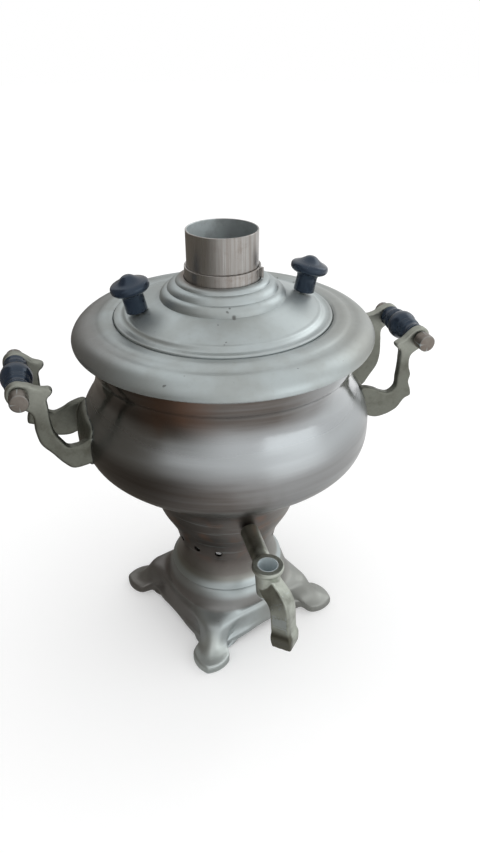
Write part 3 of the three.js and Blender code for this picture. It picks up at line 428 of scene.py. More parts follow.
class Finish:
    """A Principled material put together node by node."""

    def __init__(self, name):
        self.material = bpy.data.materials.new(name)
        self.material.use_nodes = True
        self.tree = self.material.node_tree
        self.shader = self.tree.nodes["Principled BSDF"]
        self.place = self.node("ShaderNodeTexCoord").outputs["Object"]

    def put(self, socket, value):
        """Links a socket to another one or sets its value, with a full alpha for colours."""
        if isinstance(value, NodeSocket):
            self.tree.links.new(value, socket)
        elif socket.type == "RGBA" and len(value) == 3:
            socket.default_value = (*value, 1.0)
        else:
            socket.default_value = value

    def node(self, kind, inputs=None, **settings):
        """A new node with its settings and inputs."""
        made = self.tree.nodes.new(kind)
        for key, value in settings.items():
            setattr(made, key, value)
        for key, value in (inputs or {}).items():
            self.put(made.inputs[key], value)
        return made

    def math(self, operation, first, second=0.0, third=0.0, clamp=False):
        """One step of arithmetic."""
        inputs = {0: first, 1: second, 2: third}
        return self.node("ShaderNodeMath", inputs, operation=operation, use_clamp=clamp).outputs[0]

    def times(self, first, *others):
        """Values multiplied one after the other."""
        for other in others:
            first = self.math("MULTIPLY", first, other)
        return first

    def plus(self, first, second, clamp=False):
        """The sum of two values."""
        return self.math("ADD", first, second, clamp=clamp)

    def most(self, first, second):
        """The greater of two values."""
        return self.math("MAXIMUM", first, second)

    def noise(self, where, scale, detail=3.0, rough=0.5, distortion=0.0):
        """Clouds of a given fineness."""
        inputs = {"Vector": where, "Scale": scale, "Detail": detail, "Roughness": rough, "Distortion": distortion}
        return self.node("ShaderNodeTexNoise", inputs).outputs["Fac"]

    def between(self, value, low, high, out_low=0.0, out_high=1.0):
        """A value mapped smoothly from one range to another, and held at its ends."""
        inputs = {"Value": value, "From Min": low, "From Max": high, "To Min": out_low, "To Max": out_high}
        return self.node("ShaderNodeMapRange", inputs, interpolation_type="SMOOTHSTEP").outputs["Result"]

    def blend(self, factor, first, second):
        """Two colours mixed."""
        return self.node("ShaderNodeMix", data_type="RGBA", inputs={0: factor, 6: first, 7: second}).outputs[2]

    def cylinder(self, centre=(0.0, AXIS_Y, 0.0)):
        """Radius, turn and height about an upright axis."""
        shifted = self.node("ShaderNodeVectorMath", {0: self.place, 1: centre}, operation="SUBTRACT").outputs[0]
        x, y, height = self.node("ShaderNodeSeparateXYZ", {0: shifted}).outputs
        radius = self.math("SQRT", self.plus(self.times(x, x), self.times(y, y)))
        return radius, self.math("ARCTAN2", x, self.times(y, -1.0)), height

    def joined(self, x, y, z):
        """Three values as one vector."""
        return self.node("ShaderNodeCombineXYZ", {0: x, 1: y, 2: z}).outputs[0]

    def bump(self, height, depth, strength=1.0, under=None):
        """Relief that a height gives, on top of another relief if one is given."""
        inputs = {"Height": height, "Distance": depth, "Strength": strength}
        if under is not None:
            inputs["Normal"] = under
        return self.node("ShaderNodeBump", inputs).outputs["Normal"]

    def done(self, **sockets):
        """The material, with the shader's sockets set."""
        for key, value in sockets.items():
            self.put(self.shader.inputs[key.replace("_", " ")], value)
        return self.material

    def surface(self, cover, under, over):
        """Makes the material a mixture of two shaders."""
        mixed = self.node("ShaderNodeMixShader", {0: cover, 1: under, 2: over}).outputs[0]
        self.put(self.tree.nodes["Material Output"].inputs["Surface"], mixed)


def ring_marks(f, where, fineness=2600.0, along=1.1, detail=2.0):
    """Marks that run round the axis: noise that changes fast with radius and height, slowly with turn."""
    radius, turn, height = where
    place = f.joined(f.times(radius, fineness), f.times(turn, along), f.times(height, fineness))
    return f.noise(place, 1.0, detail)


def foot_wear_and_shade(f, colours, colour, cloud, where):
    """The foot's wear and painted shade: pale pads, painted shade on the left and on the right side, and painted
    shade round the step, stronger on the left.
    """
    radius, turn, height = where
    aside = f.math("SINE", turn)
    pad = f.times(
        f.between(radius, 42 * MM, 46 * MM), f.between(height, 6 * MM, 2 * MM, 0.5, 0.3),
        f.between(aside, 0.5, 0.1),
    )
    colour = f.blend(pad, colour, colours.pad_light)
    # painted shade: darker on the left, less so by the step
    left = f.between(f.plus(aside, f.math("SUBTRACT", cloud, 0.5)), -0.40, -0.95, 0.04, 0.8)
    step = f.between(radius, 33 * MM, 29 * MM)
    left = f.times(left, f.math("SUBTRACT", 1.0, f.times(step, 0.45)))
    colour = f.blend(left, colour, colours.neck)
    # painted shade: darker on the right side
    colour = f.blend(f.between(aside, 0.1, 0.7, 0.0, 0.9), colour, colours.satin_shade)
    # painted shade round the step, stronger on the left
    groove = f.times(
        f.between(height, 26 * MM, 22.5 * MM), f.between(height, 17.6 * MM, 18.8 * MM),
        f.between(aside, 0.2, 0.9, 0.62, 0.25),
    )
    return f.blend(groove, colour, colours.neck)


def lid_wear_light_and_shade(f, colours, colour, cloud, where):
    """The wear and painted light of lid and brim: a painted light band round the dome at the sides, painted shade
    on the right and on the brim's left, a brown stain by the chimney and two dirt spots.
    """
    radius, turn, _ = where
    aside = f.math("SINE", f.plus(turn, VIEW_TURN))
    # painted light: a pale band round the dome at the sides as seen from the camera
    lid_light_band = f.times(
        f.between(radius, 27 * MM, 30 * MM), f.between(radius, 46 * MM, 44 * MM),
        f.between(f.math("ABSOLUTE", aside), 0.35, 0.9, 0.0, 0.35),
    )
    colour = f.blend(lid_light_band, colour, colours.lid_light_band)
    # painted shade: darker on the right, by the lid's edge
    right = f.times(f.between(radius, 44 * MM, 50 * MM), f.between(aside, 0.55, 0.95, 0.0, 0.75))
    colour = f.blend(right, colour, colours.satin_shade)
    # painted shade: darker on the brim's left
    left = f.times(f.between(radius, 50 * MM, 58 * MM), f.between(aside, -0.45, -0.9, 0.0, 0.6))
    colour = f.blend(left, colour, colours.neck)
    stain = f.times(
        f.between(f.math("SINE", turn), 0.05, -0.75), f.between(radius, 20.5 * MM, 16.8 * MM, 0.0, 0.85),
        f.between(cloud, 0.3, 0.6, 0.7, 1.0),
    )
    colour = f.blend(stain, colour, colours.tube_shade)
    for x, ahead, z, size in DIRT_SPOTS * MM:
        spot = (x, AXIS_Y - ahead, z)
        near = f.node("ShaderNodeVectorMath", {0: f.place, 1: spot}, operation="DISTANCE").outputs["Value"]
        colour = f.blend(f.between(near, size, 0.4 * size, 0.0, 0.7), colour, colours.grime)
    return colour


def satin_finish(name, colours, marks=True):
    """Worn satin casting: mottled grey with a fine grain, and on turned pieces faint marks round the axis."""
    f = Finish(name)
    where = f.cylinder()
    cloud = f.noise(f.place, 38.0, 4.0, 0.55)
    mottle = f.noise(f.place, 420.0, 3.0, 0.6)
    grain = f.noise(f.place, 2600.0, 2.0, 0.6)
    colour = f.blend(f.times(f.between(cloud, 0.38, 0.72), 0.55), colours.satin, colours.satin_shade)
    dull = f.between(mottle, 0.55, 0.85, 0.0, 0.25 if marks else 0.1)
    colour = f.blend(dull, colour, colours.satin_shade)
    speck = f.between(f.noise(f.place, 310.0, 1.0), 0.765, 0.80, 0.0, 0.6)
    colour = f.blend(speck, colour, colours.grime)
    # adds the wear, painted light and painted shade of lid or foot
    colour = (lid_wear_light_and_shade if marks else foot_wear_and_shade)(f, colours, colour, cloud, where)
    rough = f.plus(f.between(cloud, 0.3, 0.75, 0.38, 0.46), f.between(mottle, 0.3, 0.8, 0.0, 0.05))
    relief = f.plus(f.times(grain, 0.5), f.times(mottle, 0.5))
    normal = f.bump(relief, 0.05 * MM, 0.4 if marks else 0.2)
    if marks:
        normal = f.bump(ring_marks(f, where), 0.02 * MM, 0.6, normal)
    return f.done(Base_Color=colour, Roughness=rough, Metallic=0.9, Normal=normal)


def plated_finish(colours):
    """Plated sheet: clean on the shoulder, and brown under the brim, low down and on the left: tarnished plating
    laid as painted shade, leaning from where the camera stands, with a coppery painted reflection under the brim.
    """
    f = Finish("plated_sheet")
    where = f.cylinder()
    turn, height = where[1:]
    streak = ring_marks(f, where, 420.0, 1.4, 3.0)
    cloud = f.noise(f.place, 32.0, 3.0, 0.5, 0.4)
    rise = f.math("DIVIDE", f.math("SUBTRACT", height, BOWL_FOOT), BOWL_TOP - BOWL_FOOT)
    lean = f.times(f.math("SINE", f.plus(turn, VIEW_TURN)), -1.0)
    shade = f.plus(lean, f.times(f.math("SUBTRACT", cloud, 0.5), 0.7))
    throat = f.between(f.plus(rise, f.between(shade, 0.1, 0.6, 0.0, 0.03)), 0.60, 0.74)
    left = f.between(shade, 0.25, 1.1, 0.0, 0.45)
    under = f.times(throat, f.between(shade, -0.95, -0.25))
    foot = f.between(rise, 0.16, 0.02, 0.0, 0.75)
    low = f.times(f.between(rise, 0.53, 0.37), f.between(shade, -0.42, -0.05, 0.55, 0.95))
    # painted shade: tarnished brown laid darker on the left, under the brim and low down, leaning from where the
    # camera stands
    tarnish_and_shade = f.most(f.most(left, under), f.most(foot, low))
    tarnish_and_shade = f.math("MULTIPLY", tarnish_and_shade, f.between(streak, 0.2, 0.75, 0.8, 1.0), clamp=True)
    colour = f.blend(tarnish_and_shade, colours.plated, colours.plated_shade)
    # painted reflection: a coppery warm patch under the brim
    patch = f.between(f.math("ABSOLUTE", f.plus(turn, WARM_REFLECTION_TURN)), 0.36, 0.08)
    warm = f.times(under, patch, f.between(cloud, 0.30, 0.60, 0.2, 0.5))
    colour = f.blend(warm, colour, colours.copper_and_reflection)
    rough = f.plus(f.between(rise, 0.50, 0.68, 0.30, 0.12), f.between(streak, 0.3, 0.8, 0.0, 0.08))
    normal = f.bump(f.noise(f.place, 1500.0, 2.0), 0.02 * MM, 0.5)
    normal = f.bump(ring_marks(f, where, 1400.0), 0.02 * MM, 0.7, normal)
    return f.done(Base_Color=colour, Roughness=rough, Metallic=1.0, Normal=normal)


def neck_finish(colours):
    """Tarnished plating, its dark colour partly painted shade: painted shade on the left and painted light on the
    right, with blotches, worn rings, lighter metal towards the neck's foot and a painted highlight along the seam."""
    f = Finish("dark_plating")
    where = f.cylinder()
    turn, height = where[1:]
    aside = f.math("SINE", turn)

    def rising(low, high, out_low=0.0, out_high=1.0):
        """A value that changes between two heights over the neck's foot."""
        return f.between(height, NECK_FOOT + low * MM, NECK_FOOT + high * MM, out_low, out_high)

    blotch = f.noise(f.place, 75.0, 4.0, 0.6, 0.5)
    # the neck colour is tarnished plating darkened as painted shade
    colour = f.blend(f.between(blotch, 0.40, 0.85, 0.0, 0.3), colours.neck, colours.satin_shade)
    # painted light: lighter on the right
    colour = f.blend(f.between(aside, 0.1, 0.8, 0.0, 0.6), colour, colours.satin_shade)
    # painted shade: darker on the left, higher up
    dark = f.times(f.between(aside, -0.2, -0.8, 0.0, 0.85), rising(12, 30))
    colour = f.blend(dark, colour, colours.grime)
    colour = f.blend(f.most(rising(3, 9, 1.0, 0.0), rising(6, 17, 0.35, 0.0)), colour, colours.satin_shade)
    ring = f.noise(f.joined(0.0, f.times(turn, 0.8), f.times(height, 520.0)), 1.0, 3.0)
    colour = f.blend(f.between(ring, 0.58, 0.74, 0.0, 0.35), colour, colours.satin)
    warm = f.times(f.between(f.noise(f.place, 90.0, 2.0), 0.50, 0.75, 0.0, 0.4), rising(12, 20))
    colour = f.blend(warm, colour, colours.copper_and_reflection)
    edge = rising(4, 1.5)
    colour = f.blend(edge, colour, colours.satin)
    # painted highlight: a bright band along the seam
    bead = f.times(f.between(height, SEAM - 1.6 * MM, SEAM - 0.8 * MM), 0.7)
    colour = f.blend(bead, colour, colours.plated)
    rough = f.most(f.between(blotch, 0.3, 0.8, 0.33, 0.44), f.times(edge, 0.42))
    normal = f.bump(f.noise(f.place, 1200.0, 2.0), 0.01 * MM, 0.3)
    normal = f.bump(ring_marks(f, where, 1100.0), 0.02 * MM, 0.35, normal)
    return f.done(Base_Color=colour, Roughness=rough, Metallic=1.0, Normal=normal)


def tube_finish(name, colours, stain):
    """Sheet brushed along the tube: streaks that change fast round it and slowly along it. Inside it is pale grey,
    painted light over the ashy lining, with painted shade on the right."""
    f = Finish(name)
    radius, turn, height = f.cylinder()
    aside = f.math("SINE", turn)
    wide = f.noise(f.joined(f.times(turn, 9.0), f.times(height, 14.0), 0.0), 1.0, 3.0)
    fine = f.noise(f.joined(f.times(turn, 85.0), f.times(height, 50.0), 0.0), 1.0, 3.0)
    blot = f.noise(f.place, 160.0, 3.0, 0.6)
    mask = f.plus(f.between(wide, 0.35, 0.65, 0.05, 0.38), f.between(fine, 0.35, 0.7, 0.0, 0.20))
    mask = f.plus(mask, f.between(blot, 0.55, 0.8, 0.0, stain), clamp=True)
    mask = f.plus(mask, 0.3 * stain, clamp=True)
    colour = f.blend(mask, colours.tube, colours.tube_shade)
    colour = f.blend(f.between(aside, -0.3, -0.9, 0.0, 0.5), colour, colours.tube_bright)
    inside = f.between(radius, TUBE_SKIN, TUBE_LINING)
    # painted light: the pale inside, and painted shade on its right
    ash_and_light = f.blend(f.between(blot, 0.4, 0.8), colours.ash_and_light, colours.ash_shade)
    ash_and_light = f.blend(f.between(aside, -0.3, 0.6, 0.0, 0.75), ash_and_light, colours.soot_and_shade)
    colour = f.blend(inside, colour, ash_and_light)
    rough = f.most(f.between(fine, 0.3, 0.7, 0.26, 0.40), f.times(inside, 0.5))
    metal = f.between(inside, 0.0, 1.0, 1.0, 0.5)
    return f.done(Base_Color=colour, Roughness=rough, Metallic=metal, Normal=f.bump(fine, 0.05 * MM, 0.5))


def cast_finish(name, first, second, colours, rough_low=0.38, rough_high=0.54, bore=None, crest=False):
    """As-cast metal: pitted, light on its worn edges and dark in its hollows. A bore at a distance in front of
    the axis is scoured pale inside, with painted shade on the left faces round it and on the tail. A crest is
    painted lighter towards its top."""
    f = Finish(name)
    edge = f.node("ShaderNodeNewGeometry").outputs["Pointiness"]
    cloud = f.noise(f.place, 130.0, 4.0, 0.6)
    grain = f.noise(f.place, 900.0, 3.0, 0.6)
    colour = f.blend(f.between(cloud, 0.42, 0.75, 0.0, 0.6), first, second)
    colour = f.blend(f.between(edge, 0.485, 0.44, 0.0, 0.8), colour, colours.cast_shade)
    colour = f.blend(f.between(edge, 0.52, 0.60, 0.0, 0.75), colour, colours.satin)
    if crest:
        # painted light: lighter towards the top of the arms
        top_light = f.between(f.cylinder()[2], CREST_LOW, CREST_HIGH, 0.0, 0.75)
        colour = f.blend(top_light, colour, colours.arm_top_light)
    metal = 0.97
    if bore:
        radius, side, level = f.cylinder((0.0, AXIS_Y - bore, 0.0))
        # painted shade: darker on the spout's left faces, stronger low down
        left_face_shade = f.times(
            f.between(side, 0.36, 0.27), f.between(level, 46 * MM, 50 * MM, 0.95, 0.4),
            f.between(level, 66 * MM, 60 * MM),
        )
        # painted shade: a darker tail under the bowl
        tail = f.times(f.between(radius, 9 * MM, 11 * MM), f.between(level, 66 * MM, 68 * MM, 0.0, 0.5))
        colour = f.blend(f.most(left_face_shade, tail), colour, colours.cast_shade)
        inside = f.between(radius, SOCKET_RADIUS + 0.3 * MM, SOCKET_RADIUS)
        colour = f.blend(inside, colour, colours.bore)
        metal = f.math("MULTIPLY_ADD", inside, -0.7, metal)
    rough = f.between(grain, 0.3, 0.7, rough_low, rough_high)
    normal = f.bump(f.plus(f.times(cloud, 1.6), grain), 0.06 * MM, 0.4)
    return f.done(Base_Color=colour, Roughness=rough, Metallic=metal, Normal=normal)


def plastic_finish(colours):
    """Moulded blue-black plastic with a faint orange-peel skin and dull handling marks."""
    f = Finish("blue_black_plastic")
    worn = f.noise(f.place, 220.0, 3.0, 0.6)
    colour = f.blend(f.between(worn, 0.5, 0.8, 0.0, 0.5), colours.plastic, colours.plastic_worn)
    return f.done(
        Base_Color=colour, Roughness=f.between(worn, 0.35, 0.75, 0.12, 0.28), Metallic=0.0,
        Normal=f.bump(f.noise(f.place, 700.0, 2.0), 0.02 * MM, 0.4), Specular_Tint=colours.plastic_shine,
        Coat_Weight=0.1, Coat_Roughness=0.08,
    )


def fibre_finish(colours):
    """Matte fibre washer."""
    f = Finish("fibre")
    grain = f.noise(f.place, 900.0, 4.0)
    colour = f.blend(grain, colours.grime, colours.fibre)
    return f.done(Base_Color=colour, Roughness=0.85, Metallic=0.0, Normal=f.bump(grain, 0.05 * MM))


LOOKS = {}


def look(name):
    """A finish by its name, made on first use."""
    if name in LOOKS:
        return LOOKS[name]
    c = bpy.context.scene.samovar_finish
    makers = {
        "satin_casting": lambda: satin_finish(name, c),
        "satin_foot": lambda: satin_finish(name, c, marks=False),
        "plated_sheet": lambda: plated_finish(c),
        "dark_plating": lambda: neck_finish(c),
        "brushed_tube": lambda: tube_finish(name, c, 0.35),
        "stained_collar": lambda: tube_finish(name, c, 0.5),
        "grey_casting": lambda: cast_finish(name, c.arm, c.cast_shade, c, crest=True),
        "tap_casting": lambda: cast_finish(name, c.cast, c.cast_shade, c, 0.30, 0.42, TAP_REACH),
        "grate_casting": lambda: cast_finish(name, c.grime, c.grate, c, 0.6, 0.8),
        "coppery_rod": lambda: cast_finish(name, c.rod, c.rod_shade, c, 0.34, 0.5),
        "screw_steel": lambda: cast_finish(name, c.tube, c.tube_shade, c, 0.28, 0.4),
        "blue_black_plastic": lambda: plastic_finish(c),
        "fibre": lambda: fibre_finish(c),
    }
    LOOKS[name] = makers[name]()
    return LOOKS[name]


# Lines of the turned pieces

# Each pair is a share of the way out and a share of the height
BOWL_BELLY_SHARES = [
    (0.01, 0), (0.05, 0.014), (0.05, 0.026), (0.206, 0.049), (0.476, 0.107), (0.72, 0.163), (0.895, 0.219),
    (0.98, 0.28), (1, 0.35),
]
BOWL_THROAT_SHARES = [
    (0.958, 0.41), (0.603, 0.491), (0.161, 0.56), (-0.186, 0.645), (-0.287, 0.706), (-0.232, 0.76),
    (-0.035, 0.814), (0, 1),
]


def bowl_line(step=0.5 * MM):
    """The bowl's outer line: shares of the way out from the seam up to the widest line, then from the mouth."""
    mouth = BOWL_RADIUS - bpy.context.scene.samovar_sizes.mouth_inset
    belly = [(SEAM_RADIUS + out * (BOWL_RADIUS - SEAM_RADIUS), up) for out, up in BOWL_BELLY_SHARES]
    throat = [(mouth + out * (BOWL_RADIUS - mouth), up) for out, up in BOWL_THROAT_SHARES]
    line = np.array(belly + throat)
    line[:, 1] = BOWL_FOOT + line[:, 1] * (BOWL_TOP - BOWL_FOOT)
    bead, wall = line[:3], line[2:]
    return np.vstack([softened_open(bead, 0.4 * MM)[:-1], smooth_line(wall, step)])


SKIRT_SHARES = [
    (0.19, 0), (0.13, 0.025), (0.075, 0.06), (0.03, 0.11), (0.006, 0.165), (0, 0.24), (0.03, 0.3), (0.1, 0.4),
    (0.262, 0.525), (0.358, 0.593), (0.494, 0.728), (0.652, 0.861), (0.84, 0.945), (1, 1),
]
AIR_SECTORS = 14  # the first, behind the tap, stays without its hole


def skirt_line(step=0.5 * MM):
    """The outer line of the neck and flare, in shares of the way from the waist out to the seam."""
    waist = bpy.context.scene.samovar_sizes.waist_radius
    shares = np.array(SKIRT_SHARES)
    line = np.column_stack([
        waist + shares[:, 0] * (SEAM_RADIUS - waist),
        NECK_FOOT + shares[:, 1] * (SEAM - NECK_FOOT),
    ])
    return smooth_line(line, step)


BRIM_SHARES = [
    (0, 0.95), (0.06, 0.995), (0.14, 1), (0.24, 0.995), (0.33, 0.955), (0.41, 0.89), (0.48, 0.86), (0.64, 0.835),
    (0.76, 0.755), (0.88, 0.60), (0.96, 0.42), (1, 0.22), (0.985, 0.08), (0.91, 0),
]
DOME_ROLLS = [
    [(0, 1), (0.12, 0.99), (0.23, 0.94), (0.30, 0.86), (0.33, 0.79)],
    [(0.33, 0.79), (0.42, 0.765), (0.53, 0.69), (0.62, 0.57), (0.67, 0.455)],
    [(0.67, 0.455), (0.77, 0.42), (0.87, 0.33), (0.95, 0.17), (0.985, 0)],
]
LID_EDGE_SHARES = [
    (0, 1.15), (0.22, 1.05), (0.40, 0.78), (0.50, 0.69), (0.68, 0.665), (0.88, 0.655), (0.97, 0.60), (1, 0.50),
]


class SizedOperator(Operator):
    """Shared by the piece builders: reaches the sizes."""

    bl_options = {"REGISTER", "UNDO"}

    @property
    def sizes(self):
        return bpy.context.scene.samovar_sizes


class SAMOVAR_OT_bowl(SizedOperator):
    """Spins the bowl: a belly, a hollow throat under the brim and a bead at the seam"""

    bl_idname = "samovar.bowl"
    bl_label = "Bowl"

    def execute(self, context):
        outer = bowl_line()
        inner = outer - [self.sizes.bowl_wall, 0]
        piece = lathe("bowl", np.vstack([outer, inner[::-1]]), self.sizes.sides)
        settle(piece, URN, "plated_sheet", ["vessel_bowl"])
        return {"FINISHED"}


class SAMOVAR_OT_skirt(SizedOperator):
    """Spins the neck and flare, with a row of round air holes through the neck"""

    bl_idname = "samovar.skirt"
    bl_label = "Neck and flare"

    def execute(self, context):
        sizes = self.sizes
        outer = skirt_line()
        flange_hole, flange_top = 16.3 * MM, NECK_FOOT + 2 * MM
        least = 0.1 * MM
        wall = sizes.skirt_wall
        steps = sizes.sides // AIR_SECTORS
        half_turn = math.pi / AIR_SECTORS
        half_rise = half_turn * sizes.waist_radius
        hole_level = NECK_FOOT + sizes.air_hole_rise
        low, high = hole_level - half_rise, hole_level + half_rise

        def outer_radius(z):
            """The outer line's radius at a height."""
            return np.interp(z, outer[:, 1], outer[:, 0])

        def line_between(z_low, z_high, inward):
            """The outer line between two heights, moved inwards."""
            inside = outer[(outer[:, 1] > z_low + least) & (outer[:, 1] < z_high - least)][:, 1]
            z = np.r_[z_low, inside, z_high]
            return np.column_stack([outer_radius(z) - inward, z])

        above = np.vstack([line_between(high, SEAM, 0), line_between(high, SEAM, wall)[::-1]])
        below = np.vstack([
            line_between(flange_top, low, wall)[::-1],
            [[flange_hole, flange_top], [flange_hole, NECK_FOOT]],
            line_between(NECK_FOOT, low, 0),
        ])
        parts = [sheet(turned(line, AIR_SECTORS * steps), close_rows=False) for line in (above, below)]

        def on_wall(a, b, sector, inward):
            """Points of a sector's square, with the formula of turned: a is the share of its half turn from
            the middle, b of its half height."""
            turn = (2 * sector) * half_turn + a * half_turn
            z = hole_level + b * half_rise
            r = outer_radius(z) - inward
            return np.stack([r * np.sin(turn), AXIS_Y - r * np.cos(turn), z + 0 * turn], axis=-1)

        edge = np.linspace(-1, 1, steps + 1)[:-1]
        one = np.ones(steps)
        square = np.vstack([
            np.column_stack([edge, -one]), np.column_stack([one, edge]),
            np.column_stack([-edge, one]), np.column_stack([-one, -edge]),
        ])
        around = np.arctan2(square[:, 1], square[:, 0])
        circle = np.column_stack([np.cos(around), np.sin(around)]) * sizes.air_hole_radius / half_rise
        t = np.linspace(0, 1, 7)[:, None, None]
        rings = (1 - t) * square + t * circle
        plain = np.meshgrid(np.linspace(-1, 1, steps + 1), np.linspace(-1, 1, steps + 1))
        parts += [sheet(on_wall(*plain, 0, inward), False, False) for inward in (0, wall)]
        for sector in range(1, AIR_SECTORS):
            outside, inside = (on_wall(rings[..., 0], rings[..., 1], sector, inward) for inward in (0, wall))
            parts.append(sheet(np.concatenate([outside, inside[::-1]]), close_rows=False))
        piece = add_mesh("neck_and_flare", *together(parts))
        settle(piece, URN, "dark_plating", ["vented_skirt"], sharp=40)
        return {"FINISHED"}


class SAMOVAR_OT_brim(SizedOperator):
    """Turns the stepped brim with the sunk ledge that carries the lid"""

    bl_idname = "samovar.brim"
    bl_label = "Brim"

    def execute(self, context):
        wall = self.sizes.sheet
        lid_gap, ledge_width, fit = 0.39 * MM, 4.6 * MM, 0.6 * MM
        inner = LID_RADIUS + lid_gap
        ledge_inner = inner - ledge_width
        mouth = BOWL_RADIUS - self.sizes.mouth_inset
        low = span("brim_ring")[0][2]
        rim_low = BRIM_TOP - 10 * MM
        ledge = BRIM_TOP - 2.5 * MM
        top = np.array([
            (inner + out * (BRIM_RADIUS - inner), rim_low + up * (BRIM_TOP - rim_low))
            for out, up in BRIM_SHARES
        ])
        collar = mouth - self.sizes.bowl_wall - fit
        under = ledge - wall
        ledge_line = softened_open([(ledge_inner, ledge), (inner, ledge), top[0]], 0.4 * MM)
        hidden = [
            (BRIM_RADIUS - 2 * wall, rim_low + 2 * MM),
            (mouth + 2 * wall, under - 0.5 * wall),
            (mouth + fit / 2, under),
            (collar, under),
            (collar, low),
            (collar - wall, low),
            (collar - wall, under),
            (ledge_inner, under),
        ]
        profile = np.vstack([ledge_line[:-1], smooth_line(top), hidden])
        piece = lathe("brim", profile, self.sizes.sides)
        settle(piece, URN, "satin_casting", ["brim_ring"])
        return {"FINISHED"}


class SAMOVAR_OT_lid(SizedOperator):
    """Turns the lid: a beaded edge, a cone and a stepped dome round the chimney"""

    bl_idname = "samovar.lid"
    bl_label = "Lid"

    def execute(self, context):
        hole, edge_height = 16.5 * MM, 4 * MM
        shoulder = LID_RADIUS - 6.4 * MM
        rolls = [
            smooth_line(
                [(hole + out * (DOME_RADIUS - hole), CONE_FOOT + up * (LID_TOP - CONE_FOOT)) for out, up in roll],
                0.25 * MM,
            )
            for roll in DOME_ROLLS
        ]
        brow = LID_RADIUS - shoulder
        edge = smooth_line(
            [(shoulder + out * brow, LID_SEAT + up * edge_height) for out, up in LID_EDGE_SHARES], 0.2 * MM,
        )
        run = np.linspace(0.03, 0.97, 12)[:, None]
        cone = rolls[-1][-1] * (1 - run) + edge[0] * run
        wall = self.sizes.sheet
        inside = [
            (LID_RADIUS - wall, LID_SEAT),
            (LID_RADIUS - wall, LID_SEAT + 1.3 * MM),
            (shoulder, LID_SEAT + 2.7 * MM),
            (DOME_RADIUS - 0.4 * wall, CONE_FOOT - wall),
            (hole + 0.6 * (DOME_RADIUS - hole), CONE_FOOT + 0.40 * (LID_TOP - CONE_FOOT)),
            (hole, LID_TOP - 1.1 * wall),
        ]
        profile = np.vstack([*rolls, cone, edge, [(LID_RADIUS, LID_SEAT)], inside])
        piece = lathe("lid_cover", profile, self.sizes.sides)
        settle(piece, COVER, "satin_casting", ["lid"])
        return {"FINISHED"}


class SAMOVAR_OT_chimney(SizedOperator):
    """Rolls the fire tube, bell-shaped at its foot and thin-walled at its rim"""

    bl_idname = "samovar.chimney"
    bl_label = "Fire tube"

    def execute(self, context):
        wall = self.sizes.tube_wall
        radius = self.sizes.tube_radius
        flare = smooth_line(np.array([
            (FIREBOX_RADIUS, TUBE_FOOT),
            (FIREBOX_RADIUS, TUBE_FOOT + 12 * MM),
            (radius + 0.38 * (FIREBOX_RADIUS - radius), TUBE_FOOT + 36 * MM),
            (radius, TUBE_FOOT + 60 * MM),
            (radius, TUBE_FOOT + 80 * MM),
        ]), 2 * MM)
        bevel = 0.25 * wall
        outer = np.vstack([flare, [(radius, TUBE_TOP - bevel), (radius - bevel, TUBE_TOP)]])
        inner = np.vstack([
            flare - [wall, 0], [(radius - wall, TUBE_TOP - bevel), (radius - wall + bevel, TUBE_TOP)],
        ])
        piece = lathe("chimney", np.vstack([outer, inner[::-1]]), self.sizes.sides)
        settle(piece, URN, "brushed_tube", ["fire_tube"])
        return {"FINISHED"}


class SAMOVAR_OT_collar(SizedOperator):
    """Rolls the collar round the chimney, with its standing lap and the flange under the lid"""

    bl_idname = "samovar.collar"
    bl_label = "Collar"

    def execute(self, context):
        radius = self.sizes.collar_radius
        inner = self.sizes.tube_radius + 0.18 * MM
        seat = span("lid_collar")[0][2]
        flange, flange_top = reach("lid_collar"), seat + 0.6 * MM
        profile = softened([
            (inner, seat), (flange, seat), (flange, flange_top), (radius, flange_top),
            (radius, COLLAR_TOP), (inner, COLLAR_TOP),
        ], 0.22 * MM)
        lap_turn, lap_height = math.radians(57), 4.2 * MM  # the lap stands at the front on the right
        lap = softened(profile_mm((-0.4, -0.75), (1.4, -0.75), (1.5, 0.0), (1.4, 0.75), (-0.4, 0.75)), 0.4 * MM)
        out = np.array([math.sin(lap_turn), -math.cos(lap_turn)])
        aside = np.array([math.cos(lap_turn), math.sin(lap_turn)])
        plan = (radius + lap[:, :1]) * out + lap[:, 1:] * aside + [0, AXIS_Y]
        levels = np.linspace(COLLAR_TOP - lap_height, COLLAR_TOP, 6)
        tiers = np.array([np.column_stack([plan, np.full(len(plan), level)]) for level in levels])
        parts = [sheet(turned(profile, self.sizes.sides)), capped(tiers)]
        piece = add_mesh("collar", *together(parts))
        settle(piece, COVER, "stained_collar", ["lid_collar"])
        return {"FINISHED"}


# The foot


FOOT_TURN = math.radians(18.4)
EIGHTH = math.pi / 4
EIGHTH_TURNS = np.array([0, 0.1, 0.2, 0.28, 0.38, 0.62, 1]) * EIGHTH  # from the leg's diagonal to the side
LEG_SHARES = np.array([1, 1, 1, 1, 1, 0.2, 0])  # how far each of these points belongs to the leg
LEG_POINTS = 5


def eightfold(points):
    """One eighth of a ring, as (along the leg's diagonal, across it, height), mirrored and set at the four
    corners: x is along times cosine minus across times sine, y is along times sine plus across times cosine."""
    mirrored = points[1:-1][::-1] * [1, -1, 1]
    ring = []
    for corner in range(4):
        for part, turn in ((points, 2 * corner + 1), (mirrored, 2 * corner + 3)):
            c, s = math.cos(turn * EIGHTH), math.sin(turn * EIGHTH)
            along, across, height = part.T
            ring.append(np.column_stack([along * c - across * s, along * s + across * c, height]))
    return np.vstack(ring)


